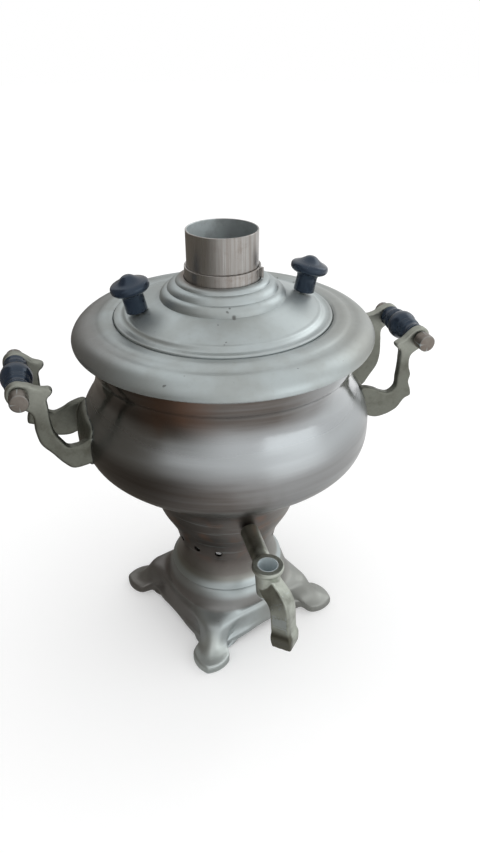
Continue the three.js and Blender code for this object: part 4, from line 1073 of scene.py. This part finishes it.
def square_reach(half, corner):
    """From the axis to a rounded square at the shared turns: half over the cosine on the flat sides, and the
    far crossing with the corner's circle near the diagonals."""
    side = EIGHTH - EIGHTH_TURNS
    flat = half / np.cos(side)
    centre = half - corner
    across = centre * (np.cos(side) - np.sin(side))
    bow = centre * (np.cos(side) + np.sin(side)) + np.sqrt(np.maximum(corner**2 - across**2, 0))
    return np.where(flat * np.sin(side) <= half - corner, flat, bow)


def at_turns(reach_now, height):
    """Points at the shared turns: x is reach times cosine, y is reach times sine."""
    return np.column_stack([reach_now * np.cos(EIGHTH_TURNS), reach_now * np.sin(EIGHTH_TURNS), height])


class SAMOVAR_OT_foot(SizedOperator):
    """Shapes the square foot with its four legs, pads and round step"""

    bl_idname = "samovar.foot"
    bl_label = "Foot"

    def execute(self, context):
        pad_side, pad_corner, pad_height, pad_spread = 14.9 * MM, 3.4 * MM, 3.9 * MM, 47.8 * MM
        half, top_half, corner = 34.0 * MM, 31.9 * MM, 6.5 * MM
        clearance, plate, wall, leg_half = 4.9 * MM, 17.8 * MM, 2 * MM, 5.9 * MM
        base_top = span("base_plinth")[1][2]
        step_height = base_top - plate
        step, step_foot, hole, neck = 30.0 * MM, 32.1 * MM, 16.6 * MM, 25.9 * MM
        tip = (pad_side / 2) * math.sqrt(2) - pad_corner * (math.sqrt(2) - 1)
        heel = pad_spread - 0.66 * tip
        pad = np.array([(1, 0), (0.92, 0.23), (0.27, 0.90), (-0.05, 1)]) * tip + [pad_spread, 0]
        flat = EIGHTH_TURNS[LEG_POINTS:]
        side_reach = half / np.cos(EIGHTH - flat)
        side = np.column_stack([side_reach * np.cos(flat), side_reach * np.sin(flat)])
        outline = np.vstack([pad, [(heel, 6.4 * MM)], side])
        count = len(outline)

        def around(radius, height):
            """A round ring."""
            return eightfold(at_turns(np.full(count, radius), np.full(count, height)))

        def squared(size, height, leg_drop=0.0):
            """A rounded square, lower at the legs by the drop."""
            return eightfold(at_turns(square_reach(size, corner), height - leg_drop * LEG_SHARES))

        def legged(leg, flank, leg_height, flank_height, narrow=0.0):
            """A ring on the way from the top square to the outline of pads and sides: leg and flank are the
            shares of that way, and narrow draws the leg in across its diagonal."""
            start = at_turns(square_reach(top_half, corner), np.zeros(count))[:, :2]
            portion = (flank + (leg - flank) * LEG_SHARES)[:, None]
            height = flank_height + (leg_height - flank_height) * LEG_SHARES
            plan = start + (outline - start) * portion
            plan[:, 1] *= 1 - narrow * LEG_SHARES
            return eightfold(np.column_stack([plan, height]))

        width = np.minimum(outline[:LEG_POINTS, 1], leg_half - wall / 2)
        width = width * np.arange(LEG_POINTS) / (LEG_POINTS - 1)
        soles = np.column_stack([np.full(LEG_POINTS, heel - wall / 2), width, np.zeros(LEG_POINTS)])
        inward = 1 - wall * math.sqrt(2) / np.hypot(*outline[LEG_POINTS:].T)
        flanks = np.column_stack([
            outline[LEG_POINTS:] * inward[:, None], clearance * (1 - LEG_SHARES[LEG_POINTS:]),
        ])
        sole = eightfold(np.vstack([soles, flanks]))
        rings = [
            around(hole, base_top),
            around(neck, base_top),
            around(step - 0.06 * step, base_top - 0.1 * step_height),
            around(step, base_top - 0.34 * step_height),
            around(step_foot, plate + 0.09 * step_height),
            squared(top_half - 0.3 * corner, plate - 1 * MM),
            squared(top_half, plate - 2.6 * MM),
            legged(0.30, 0.32, 0.47 * plate, 0.66 * plate, 0.22),
            legged(0.58, 0.62, 0.30 * plate, 0.49 * plate, 0.20),
            legged(0.95, 0.86, pad_height + 0.1 * MM, 0.38 * plate, 0.01),
            legged(1, 0.94, 0.66 * pad_height, 0.33 * plate),
            legged(1, 1, 0, clearance),
            sole,
            squared(top_half - 0.35 * wall, 0.5 * plate, 0.12 * plate),
            squared(top_half - wall, plate - 1.2 * wall),
            around(step_foot - wall, plate - wall / 2),
            around(neck, base_top - wall),
            around(hole, base_top - wall),
        ]
        c, s = math.cos(FOOT_TURN), math.sin(FOOT_TURN)
        grid = np.array(rings) @ np.array([[c, s, 0], [-s, c, 0], [0, 0, 1]]) + [0, AXIS_Y, 0]
        corners = np.array([0.3, 2.5, 3, 3, 4, 3, 2, 4, 3, 1, 0.7, 0.4, 0.4, 1, 1, 1, 1, 0.3]) * MM
        skin = rounded_rings(finer_rings(grid, 5), corners, 6)
        skin[..., 2] = np.maximum(skin[..., 2], 0)
        piece = add_mesh("foot", *sheet(skin))
        settle(piece, URN, "satin_casting", ["base_plinth"], finish="satin_foot")
        return {"FINISHED"}


# The tap


SPOUT_TURN = math.radians(18)
# Each row is a share of the throw, a share of the way down, the section's tilt in degrees and its swelling
SPOUT_SHARES = [
    (0.02, -0.16, 12, -0.6), (0.39, -0.05, 26, 0), (0.6, 0.02, 38, 0), (0.74, 0.12, 52, 0), (0.835, 0.26, 68, 0),
    (0.875, 0.4, 80, 0), (0.905, 0.64, 83, 0), (0.93, 0.73, 84, 0.1), (0.985, 0.8, 85, 0.9), (1, 0.88, 85, 1),
    (1, 1, 85, 0.4),
]


def capped(grid):
    """Sections along a path, closed at both ends by a fan to the middle of the end section."""
    first = np.repeat(grid[:1].mean(axis=1, keepdims=True), grid.shape[1], axis=1)
    last = np.repeat(grid[-1:].mean(axis=1, keepdims=True), grid.shape[1], axis=1)
    return sheet(np.concatenate([first, grid, last]), close_rows=False)


def round_bar(start, end, radii, shares, sides=48):
    """A bar between two points whose radius changes at given shares of its length: each ring is its middle
    plus the radius times cosine along one side and sine along the other."""
    start, end = np.asarray(start, float), np.asarray(end, float)
    along = (end - start) / np.linalg.norm(end - start)
    side = np.cross(along, [1.0, 0, 0] if abs(along[0]) < 0.9 else [0, 1.0, 0])
    side /= np.linalg.norm(side)
    other = np.cross(along, side)
    turn = full_turn(sides)[:, None]
    circle = np.cos(turn) * side + np.sin(turn) * other
    middles = start + np.asarray(shares)[:, None] * (end - start)
    return capped(middles[:, None] + np.asarray(radii)[:, None, None] * circle)


class SAMOVAR_OT_tap(SizedOperator):
    """Casts the tap: tail, barrel with its ring and open socket, and the square bent spout"""

    bl_idname = "samovar.tap"
    bl_label = "Tap"

    def execute(self, context):
        barrel_y = AXIS_Y - TAP_REACH
        top, tail_level = 74.7 * MM, 69.5 * MM
        foot = top - 17.8 * MM
        ring = 7.05 * MM
        slope = math.tan(math.radians(8))

        def tail_point(reach_now):
            """The middle of the sloping tail at a distance from the axis."""
            return [0, AXIS_Y - reach_now, tail_level + (TAP_REACH - reach_now) * slope]

        barrel_line = softened_open([
            (0, foot), (3.6 * MM, foot), (4.9 * MM, foot + 2.2 * MM), (5.7 * MM, top - 3.4 * MM),
            (ring - 0.25 * MM, top - 2.3 * MM), (ring, top - 1.6 * MM), (ring, top - 0.3 * MM),
            (ring - 0.5 * MM, top), (0, top),
        ], 0.5 * MM)
        barrel = sheet(turned(barrel_line, 64, barrel_y), close_rows=False)
        tail = round_bar(
            tail_point(36.6 * MM), tail_point(58.3 * MM),
            np.array([3.9, 4.25, 4.3, 4.2, 4.1]) * MM, [0, 0.02, 0.06, 0.6, 1],
        )
        stub = round_bar(tail_point(18 * MM), tail_point(40 * MM), [2.6 * MM] * 2, [0, 1])
        throw, shoulder, tip = 19.9 * MM, 67.1 * MM, span("tap_body")[0][2] + 0.75 * MM
        across, bead, per_turn = 12.2 * MM, 0.8 * MM, 10 * MM
        out, down, turn, swell = np.array(SPOUT_SHARES, float).T
        turn = np.radians(turn)
        half = across / 2 + swell * bead
        line = smooth_line(np.column_stack([
            out * throw - half * np.sin(turn),
            shoulder - down * (shoulder - tip) - half * np.cos(turn),
            turn * per_turn,
            half,
        ]), 0.35 * MM)
        out, up, turn, half = line.T[:, :, None]
        turn = turn / per_turn
        c, s = math.cos(SPOUT_TURN), math.sin(SPOUT_TURN)
        square = softened([(0, 1), (1, 0), (0, -1), (-1, 0)], 0.14, 5) @ [[c, s], [-s, c]]
        width, rise = half * square[:, 0], half * square[:, 1]
        ahead = out + rise * np.sin(turn)
        x, y = width * c + ahead * s, width * s - ahead * c
        z = up + rise * np.cos(turn)
        spout = capped(np.stack([x, barrel_y + y, z], axis=-1))
        piece = add_mesh("tap", *together([barrel, tail, stub, spout]))
        melt(piece, 0.24 * MM, 2)
        carve(piece, *round_bar(
            [0, barrel_y, foot - 3 * MM], [0, barrel_y, top + 3 * MM],
            np.array([3.0, 3.2, 4.1, 4.3]) * MM, [0, 0.13, 0.87, 1], 64,
        ))
        third = len(out) // 3
        way = [
            [reach_now * s, barrel_y - reach_now * c, level]
            for reach_now, level in ((out[third, 0], up[third, 0]), (out[-1, 0], up[-1, 0] - 4 * MM))
        ]
        carve(piece, *round_bar(*way, [2.2 * MM] * 2, [0, 1], 40))
        settle(piece, URN, "grey_casting", ["tap_body"], finish="tap_casting", sharp=45)
        return {"FINISHED"}


# The handles


FRONT_ARM = [
    (0.19, 0.07), (0.289, 0.012), (0.385, -0.015), (0.44, -0.045), (0.415, -0.085), (0.35, -0.125),
    (0.331, -0.24), (0.341, -0.48), (0.36, -0.625), (0.456, -0.675), (0.618, -0.65), (0.75, -0.60), (1, -0.56),
    (1, -0.93), (0.87, -0.96), (0.706, -1), (0.471, -0.985), (0.272, -0.92), (0.132, -0.80), (0.02, -0.76),
    (0.03, -0.70), (0.095, -0.56), (0.075, -0.47), (0.12, -0.38), (0.13, -0.23),
]
BACK_CREST = [
    (0.17, 0.10), (0.252, 0.065), (0.373, 0.040), (0.466, 0.030), (0.50, 0.0), (0.475, -0.04), (0.41, -0.08),
    (0.40, -0.20), (0.40, -0.36), (0.43, -0.50), (0.53, -0.63), (0.61, -0.70), (0.75, -0.70), (1, -0.64),
    (1, -0.93), (0.80, -0.98),
]
BACK_HEEL = {
    "left": [(0.62, -0.98), (0.496, -0.90), (0.345, -0.755), (0.20, -0.62), (0.15, -0.45), (0.14, -0.25)],
    "right": [
        (0.52, -0.99), (0.40, -0.955), (0.288, -0.85), (0.12, -0.66), (0.095, -0.55), (0.11, -0.335), (0.12, -0.2),
    ],
}
# Each pair is a share of the flange's half width and height, and its stand over the bowl in millimetres
FLANGE_LAYERS = [
    (0, -0.15), (0.5, -0.15), (0.97, -0.15), (1, 0), (1, 0.9), (0.95, 1.6), (0.85, 1.9), (0.5, 2), (0, 2),
]


class SAMOVAR_OT_handles(SizedOperator):
    """Casts the two handle yokes: bent arms with a rounded head, on a flange that follows the bowl"""

    bl_idname = "samovar.handles"
    bl_label = "Handle yokes"

    def execute(self, context):
        inner_reach, drop, head = 26.4 * MM, 38.8 * MM, 5.2 * MM
        turn = np.radians(np.linspace(205, 60, 7))
        circle = np.column_stack([head * np.cos(turn), head * np.sin(turn)])
        thickness, edge, arm_plane = self.sizes.arm_thickness, 0.9 * MM, 14.6 * MM
        bend = np.linspace(math.pi / 2, 0, 4)
        layers = [(edge * (1 - math.cos(a)), edge * (1 - math.sin(a)) - thickness / 2) for a in bend]
        layers += [(inset, -aside) for inset, aside in layers[::-1]]
        for name, side in SIDES.items():
            arms = []
            for end, line in ((-1, FRONT_ARM), (1, BACK_CREST + BACK_HEEL[name])):
                outline = smooth_loop(np.vstack([circle, np.array(line) * [inner_reach, drop]]), 0.6 * MM)
                after = np.roll(outline, -1, 0)
                normal = after - np.roll(outline, 1, 0)
                normal = normal[:, ::-1] * [-1, 1] / np.linalg.norm(normal, axis=1)[:, None]
                area = np.sum(outline[:, 0] * after[:, 1] - outline[:, 1] * after[:, 0])
                fill = tessellate_polygon([[Vector((u, v, 0)) for u, v in outline]])
                grid = []
                for inset, aside in layers:
                    u, v = (outline + normal * np.sign(area) * inset).T
                    grid.append(np.column_stack([ROD_REACH - u, end * arm_plane + aside + 0 * u, ROD_HEIGHT + v]))
                arms.append((np.array(grid), fill))
            piece = self.cast(name, side, arms, bowl_line())
            settle(piece, URN, "grey_casting", ["handle_yoke_" + name], sharp=60)
        return {"FINISHED"}

    def cast(self, name, side, arms, bowl):
        """Joins two arms and the flange into one casting, bores it for the rod and sets it on its side. The
        flange's rim is a rounded rectangle: each coordinate is its half size times the cosine or sine, raised
        to two over the squareness. The flange follows the bowl as on_bowl does."""

        def on_bowl(points):
            """Points no nearer than the bowl's surface: x is at least the root of radius squared less y
            squared."""
            radius = np.interp(points[..., 2], bowl[:, 1], bowl[:, 0]) - 0.15 * MM
            wall = np.sqrt(np.maximum(radius**2 - points[..., 1] ** 2, 0))
            return np.concatenate([np.maximum(points[..., 0], wall)[..., None], points[..., 1:]], axis=-1)

        shells = []
        for grid, fill in arms:
            rows, columns = grid.shape[:2]
            points, walls = sheet(on_bowl(grid), close_rows=False)
            ends = np.array([(*triangle, triangle[-1]) for triangle in fill])
            shells.append((points, np.vstack([walls, ends, ends + (rows - 1) * columns])))
        c, s = np.cos(full_turn(96)), np.sin(full_turn(96))
        squareness, half_width, half_height = 5.0, 15.6 * MM, 10 * MM
        rim_y = half_width * np.sign(c) * np.abs(c) ** (2 / squareness)
        rim_z = half_height * np.sign(s) * np.abs(s) ** (2 / squareness)
        middle = ROD_HEIGHT - 31.04 * MM
        rows = []
        for size, stand in FLANGE_LAYERS:
            y, z = rim_y * size, middle + rim_z * size
            radius = np.interp(z, bowl[:, 1], bowl[:, 0]) + stand * MM
            rows.append(np.column_stack([np.sqrt(radius**2 - y**2), y, z]))
        shells.append(sheet(np.array(rows), close_rows=False))
        piece = add_mesh("yoke_" + name, *together(shells))
        melt(piece, 0.34 * MM, 3)
        ends = [[ROD_REACH, y, ROD_HEIGHT] for y in (-25 * MM, 25 * MM)]
        carve(piece, *round_bar(*ends, [BORE] * 2, [0, 1]))
        turn = Matrix.Diagonal((side, side, 1, 1))
        piece.data.transform(Matrix.Translation((0, AXIS_Y, 0)) @ turn)
        return piece


def laid(profile, side, sides):
    """A profile of (radius, place along the rod) turned about a handle's rod: x is radius times sine and z
    radius times cosine from the rod, y is the place."""
    turn = full_turn(sides)
    radius, along = profile[:, :1], profile[:, 1:]
    x = side * ROD_REACH + radius * np.sin(turn)
    return np.stack([x, AXIS_Y + along + 0 * x, ROD_HEIGHT + radius * np.cos(turn)], axis=-1)


class SAMOVAR_OT_rods(SizedOperator):
    """Turns the handle rods with their long heads, and the nuts behind"""

    bl_idname = "samovar.rods"
    bl_label = "Rods and nuts"

    def execute(self, context):
        rod, head, head_length, nut_depth = 2.2 * MM, 3.9 * MM, 6 * MM, 2.6 * MM
        sides = self.sizes.small_sides
        for name, side in SIDES.items():
            (low, high), (nut_low, nut_high) = (
                [corner[1] - AXIS_Y for corner in span(node + name)] for node in ("handle_rod_", "rod_nut_")
            )
            shoulder = low + head_length
            bar = softened_open([
                (0, low), (head, low), (head, shoulder), (rod, shoulder), (rod, high), (0, high),
            ], 0.7 * MM)
            cap = softened_open([(BORE, nut_low), (head, nut_low), (head, nut_high), (0, nut_high)], 0.6 * MM)
            nut = np.vstack([[(0, nut_low + nut_depth), (BORE, nut_low + nut_depth)], cap])
            for kind, profile, node in (("rod_", bar, "handle_rod_"), ("nut_", nut, "rod_nut_")):
                piece = add_mesh(kind + name, *sheet(laid(profile, side, sides), close_rows=False))
                settle(piece, URN, "coppery_rod", [node + name])
        return {"FINISHED"}


GRIP_SHARES = np.array([
    (0.66, 1), (0.72, 0.985), (0.735, 0.95), (0.71, 0.90), (0.68, 0.84), (0.67, 0.76), (0.69, 0.69), (0.745, 0.645),
    (0.785, 0.62), (0.80, 0.59), (0.775, 0.565), (0.785, 0.545), (0.82, 0.52), (0.825, 0.495), (0.79, 0.475),
    (0.795, 0.455), (0.83, 0.43), (0.83, 0.40), (0.79, 0.375), (0.785, 0.35), (0.83, 0.315), (0.885, 0.26),
    (0.935, 0.20), (0.975, 0.13), (0.995, 0.06), (1, 0),
])


class SAMOVAR_OT_grips(SizedOperator):
    """Turns the plastic grips: a ball between two notches and ringed cones at the ends"""

    bl_idname = "samovar.grips"
    bl_label = "Grips"

    def execute(self, context):
        half = (span("grip_right")[1][1] - span("grip_right")[0][1]) / 2
        upper = smooth_line(GRIP_SHARES * [self.sizes.grip_ball, half], 0.2 * MM)
        lower = upper[:-1][::-1] * [1, -1]
        profile = np.vstack([[(BORE, half)], upper, lower, [(BORE, -half)]])
        for name, side in SIDES.items():
            piece = add_mesh("turned_grip_" + name, *sheet(laid(profile, side, self.sizes.small_sides)))
            settle(piece, name + "_grip", "blue_black_plastic", ["grip_" + name])
        return {"FINISHED"}


KNOB_HEAD_SHARES = np.array([
    (0.60, 0.50), (0.78, 0.53), (0.91, 0.57), (0.985, 0.62), (1, 0.675), (0.985, 0.73), (0.93, 0.77), (0.85, 0.795),
    (0.72, 0.82), (0.56, 0.858), (0.42, 0.905), (0.30, 0.95), (0.20, 0.978), (0.09, 0.992), (0, 0.995),
])


class SAMOVAR_OT_knobs(SizedOperator):
    """Moulds the two mushroom knobs on the lid, leaning outwards"""

    bl_idname = "samovar.knobs"
    bl_label = "Knobs"

    def execute(self, context):
        head, stem, height, sink = self.sizes.knob_head, 4.6 * MM, 15.8 * MM, 1.0 * MM
        tilt, knob_reach, cone_slope = math.radians(12), 36.9 * MM, 0.372
        line = np.vstack([
            softened_open([
                (0, 0), (stem, 0), (stem - 0.1 * MM, 0.40 * height), (stem + 0.1 * MM, 0.47 * height),
            ], 0.4 * MM),
            smooth_line(KNOB_HEAD_SHARES * [head, height], 0.25 * MM),
        ])
        upright = turned(line, self.sizes.small_sides, 0)
        level = CONE_FOOT - cone_slope * (knob_reach - DOME_RADIUS)
        for name, side in SIDES.items():
            up = np.array([math.sin(side * tilt), 0, math.cos(tilt)])
            place = np.array([side * knob_reach, AXIS_Y, level]) + up * sink
            grid = upright @ turn_matrix((0, 1, 0), side * tilt).T + place
            piece = add_mesh("mushroom_" + name, *sheet(grid, close_rows=False))
            settle(piece, COVER, "blue_black_plastic", ["knob_" + name])
        return {"FINISHED"}


class SAMOVAR_OT_fittings(SizedOperator):
    """Gives the inner pieces, screws and rivets their finishes"""

    bl_idname = "samovar.fittings"
    bl_label = "Inner pieces and screws"

    def execute(self, context):
        kept = {
            "base_rivet_": "satin_foot", "water_floor": "brushed_tube", "fire_grate": "grate_casting",
            "tap_washer": "fibre", "tap_nut": "grey_casting", "knob_screw_": "screw_steel",
            "yoke_screw_": "screw_steel",
        }
        for name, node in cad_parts.items():
            for start, finish in kept.items():
                if name.startswith(start):
                    node.data.materials.clear()
                    node.data.materials.append(look(finish))
        return {"FINISHED"}


# The stage


def aim(source, target):
    """Turns an object so that it looks from where it stands at a point."""
    source.rotation_euler = (Vector(target) - source.location).to_track_quat("-Z", "Y").to_euler()


def soft_lamp(name, place, target, size, power, colour):
    """A rectangular lamp that faces a point."""
    lamp = bpy.data.lights.new(name, "AREA")
    lamp.shape = "RECTANGLE"
    lamp.size, lamp.size_y = size
    lamp.energy = power
    lamp.color = colour
    holder = bpy.data.objects.new(name, lamp)
    holder.location = place
    aim(holder, target)
    bpy.context.scene.collection.objects.link(holder)


class SAMOVAR_OT_stage(Operator):
    """Sets the camera at the viewing angle, with a pale floor, an even sky and soft lamps"""

    bl_idname = "samovar.stage"
    bl_label = "Stage"
    bl_options = {"REGISTER", "UNDO"}

    def execute(self, context):
        stage = context.scene.samovar_stage
        self.camera(context, stage)
        self.floor(stage)
        self.sky(context, stage)
        self.dark_card(stage)
        middle = (0, AXIS_Y, 0.11)
        soft_lamp("key", (0.44, -0.60, 0.28), middle, (0.64, 0.44), stage.key_power, (0.94, 0.98, 1.0))
        soft_lamp("side", (0.55, 0.12, 0.48), middle, (0.40, 0.40), stage.side_power, (0.98, 1.0, 1.0))
        context.scene.view_settings.view_transform = "Standard"
        return {"FINISHED"}

    def camera(self, context, stage):
        """The view is the heading and pitch as a direction, with the sideways axis turned by the roll."""
        lens = bpy.data.cameras.new("camera")
        lens.lens, lens.sensor_width = stage.lens, 36
        lens.clip_start, lens.clip_end = 0.01, 20
        holder = bpy.data.objects.new("camera", lens)
        c, s = math.cos(stage.pitch), math.sin(stage.pitch)
        ahead = np.array([-math.sin(stage.heading) * c, math.cos(stage.heading) * c, -s])
        level = np.cross(ahead, [0, 0, 1])
        level /= np.linalg.norm(level)
        above = np.cross(level, ahead)
        right = math.cos(stage.roll) * level + math.sin(stage.roll) * above
        up = -math.sin(stage.roll) * level + math.cos(stage.roll) * above
        turn = Matrix(np.column_stack([right, up, -ahead]).tolist()).to_4x4()
        holder.matrix_world = Matrix.Translation(Vector(stage.place)) @ turn
        context.scene.collection.objects.link(holder)
        context.scene.camera = holder

    def floor(self, stage):
        """A round floor that the camera and the metal see as near white, with the shadow kept."""
        line = np.array([(radius, -0.05 * MM) for radius in (0, 0.3, 1.0, 3.0)])
        piece = add_mesh("floor", *sheet(turned(line, 64, 0), close_rows=False))
        f = Finish("pale_floor")
        f.done(Base_Color=tuple(stage.floor), Roughness=0.9, Metallic=0.0, Specular_IOR_Level=0.1)
        ray = f.node("ShaderNodeLightPath").outputs
        seen = f.most(ray["Is Camera Ray"], f.most(ray["Is Glossy Ray"], ray["Is Transmission Ray"]))
        glow = f.node("ShaderNodeEmission", {"Color": (1, 1, 1, 1), "Strength": 0.15}).outputs[0]
        both = f.node("ShaderNodeAddShader", {0: f.shader.outputs[0], 1: glow}).outputs[0]
        f.surface(seen, f.shader.outputs[0], both)
        piece.data.materials.append(f.material)

    def dark_card(self, stage):
        """A dark cloth on the left that only the metal sees: a disc just over the floor whose edge rises into a
        wall. It fades out towards the right and upwards."""
        line = profile_mm((10, 0.6), (300, 0.6), (560, 0.6), (640, 60), (640, 1900))
        piece = add_mesh("dark_card", *sheet(swept(line, np.linspace(0, 2 * math.pi, 97)), False, False))
        f = Finish("dark_cloth")
        radius, turn, height = f.cylinder()
        edge_turn, wall_turn = 0.44, 1.83
        towards = f.times(radius, f.math("SINE", f.plus(turn, edge_turn)))
        aside = f.between(f.math("DIVIDE", towards, f.plus(radius, 0.1)), -0.5, 0.3, 1.0, 0.0)
        side = f.between(f.math("COSINE", f.plus(turn, wall_turn)), 0.72, 0.95, 0.0, 0.9)
        raised = f.math("SUBTRACT", height, side)
        rise = f.times(f.between(raised, 0.04, 0.42, 1.0, 0.5), f.between(raised, 0.40, 0.62, 1.0, 0.0))
        near = f.times(
            f.between(radius, 0.06, 0.16, 0.9, 0.15), f.between(height, 0.002, 0.02, 1.0, 0.0),
            f.math("MULTIPLY_ADD", aside, 0.6, 0.4),
        )
        cover = f.most(f.times(aside, rise), near)
        clear = f.node("ShaderNodeBsdfTransparent").outputs[0]
        cloth = f.node("ShaderNodeEmission", {"Color": (*stage.cloth, 1), "Strength": 1.0}).outputs[0]
        f.surface(cover, clear, cloth)
        piece.data.materials.append(f.material)
        piece.visible_camera = piece.visible_diffuse = piece.visible_shadow = False

    def sky(self, context, stage):
        """An even sky: white where it is seen or mirrored, and a little dimmer as light."""
        world = bpy.data.worlds.new("sky")
        context.scene.world = world
        world.use_nodes = True
        world.cycles.sampling_method = "NONE"
        tree = world.node_tree
        tree.nodes.clear()
        ray = tree.nodes.new("ShaderNodeLightPath")
        mix = tree.nodes.new("ShaderNodeMixShader")
        tree.links.new(ray.outputs["Is Camera Ray"], mix.inputs[0])
        for index, strength in ((1, stage.sky), (2, 1.0)):
            light = tree.nodes.new("ShaderNodeBackground")
            light.inputs["Strength"].default_value = strength
            light.inputs["Color"].default_value = (1, 1, 1, 1)
            tree.links.new(light.outputs[0], mix.inputs[index])
        tree.links.new(mix.outputs[0], tree.nodes.new("ShaderNodeOutputWorld").inputs["Surface"])


class SAMOVAR_PT_panel(Panel):
    """Lists the builders of pieces and stage"""

    bl_idname = "SAMOVAR_PT_panel"
    bl_label = "Samovar"
    bl_space_type = "VIEW_3D"
    bl_region_type = "UI"
    bl_category = "Samovar"

    def draw(self, context):
        for builder in BUILDERS:
            self.layout.operator(builder.bl_idname)


GROUPS = (SamovarSizes, SamovarFinish, SamovarStage)
BUILDERS = (
    SAMOVAR_OT_stage, SAMOVAR_OT_bowl, SAMOVAR_OT_skirt, SAMOVAR_OT_brim, SAMOVAR_OT_lid, SAMOVAR_OT_chimney,
    SAMOVAR_OT_collar, SAMOVAR_OT_foot, SAMOVAR_OT_tap, SAMOVAR_OT_handles, SAMOVAR_OT_rods, SAMOVAR_OT_grips,
    SAMOVAR_OT_knobs, SAMOVAR_OT_fittings,
)
CLASSES = (*GROUPS, *BUILDERS, SAMOVAR_PT_panel)


def register():
    """Makes the classes and the user's values known."""
    for item in CLASSES:
        bpy.utils.register_class(item)
    bpy.types.Scene.samovar_sizes = PointerProperty(type=SamovarSizes)
    bpy.types.Scene.samovar_finish = PointerProperty(type=SamovarFinish)
    bpy.types.Scene.samovar_stage = PointerProperty(type=SamovarStage)


def unregister():
    """Takes back what register did."""
    for name in ("samovar_sizes", "samovar_finish", "samovar_stage"):
        delattr(bpy.types.Scene, name)
    for item in reversed(CLASSES):
        bpy.utils.unregister_class(item)


def main():
    register()
    for builder in BUILDERS:
        group, name = builder.bl_idname.split(".")
        getattr(getattr(bpy.ops, group), name)()


if __name__ == "__main__":
    main()
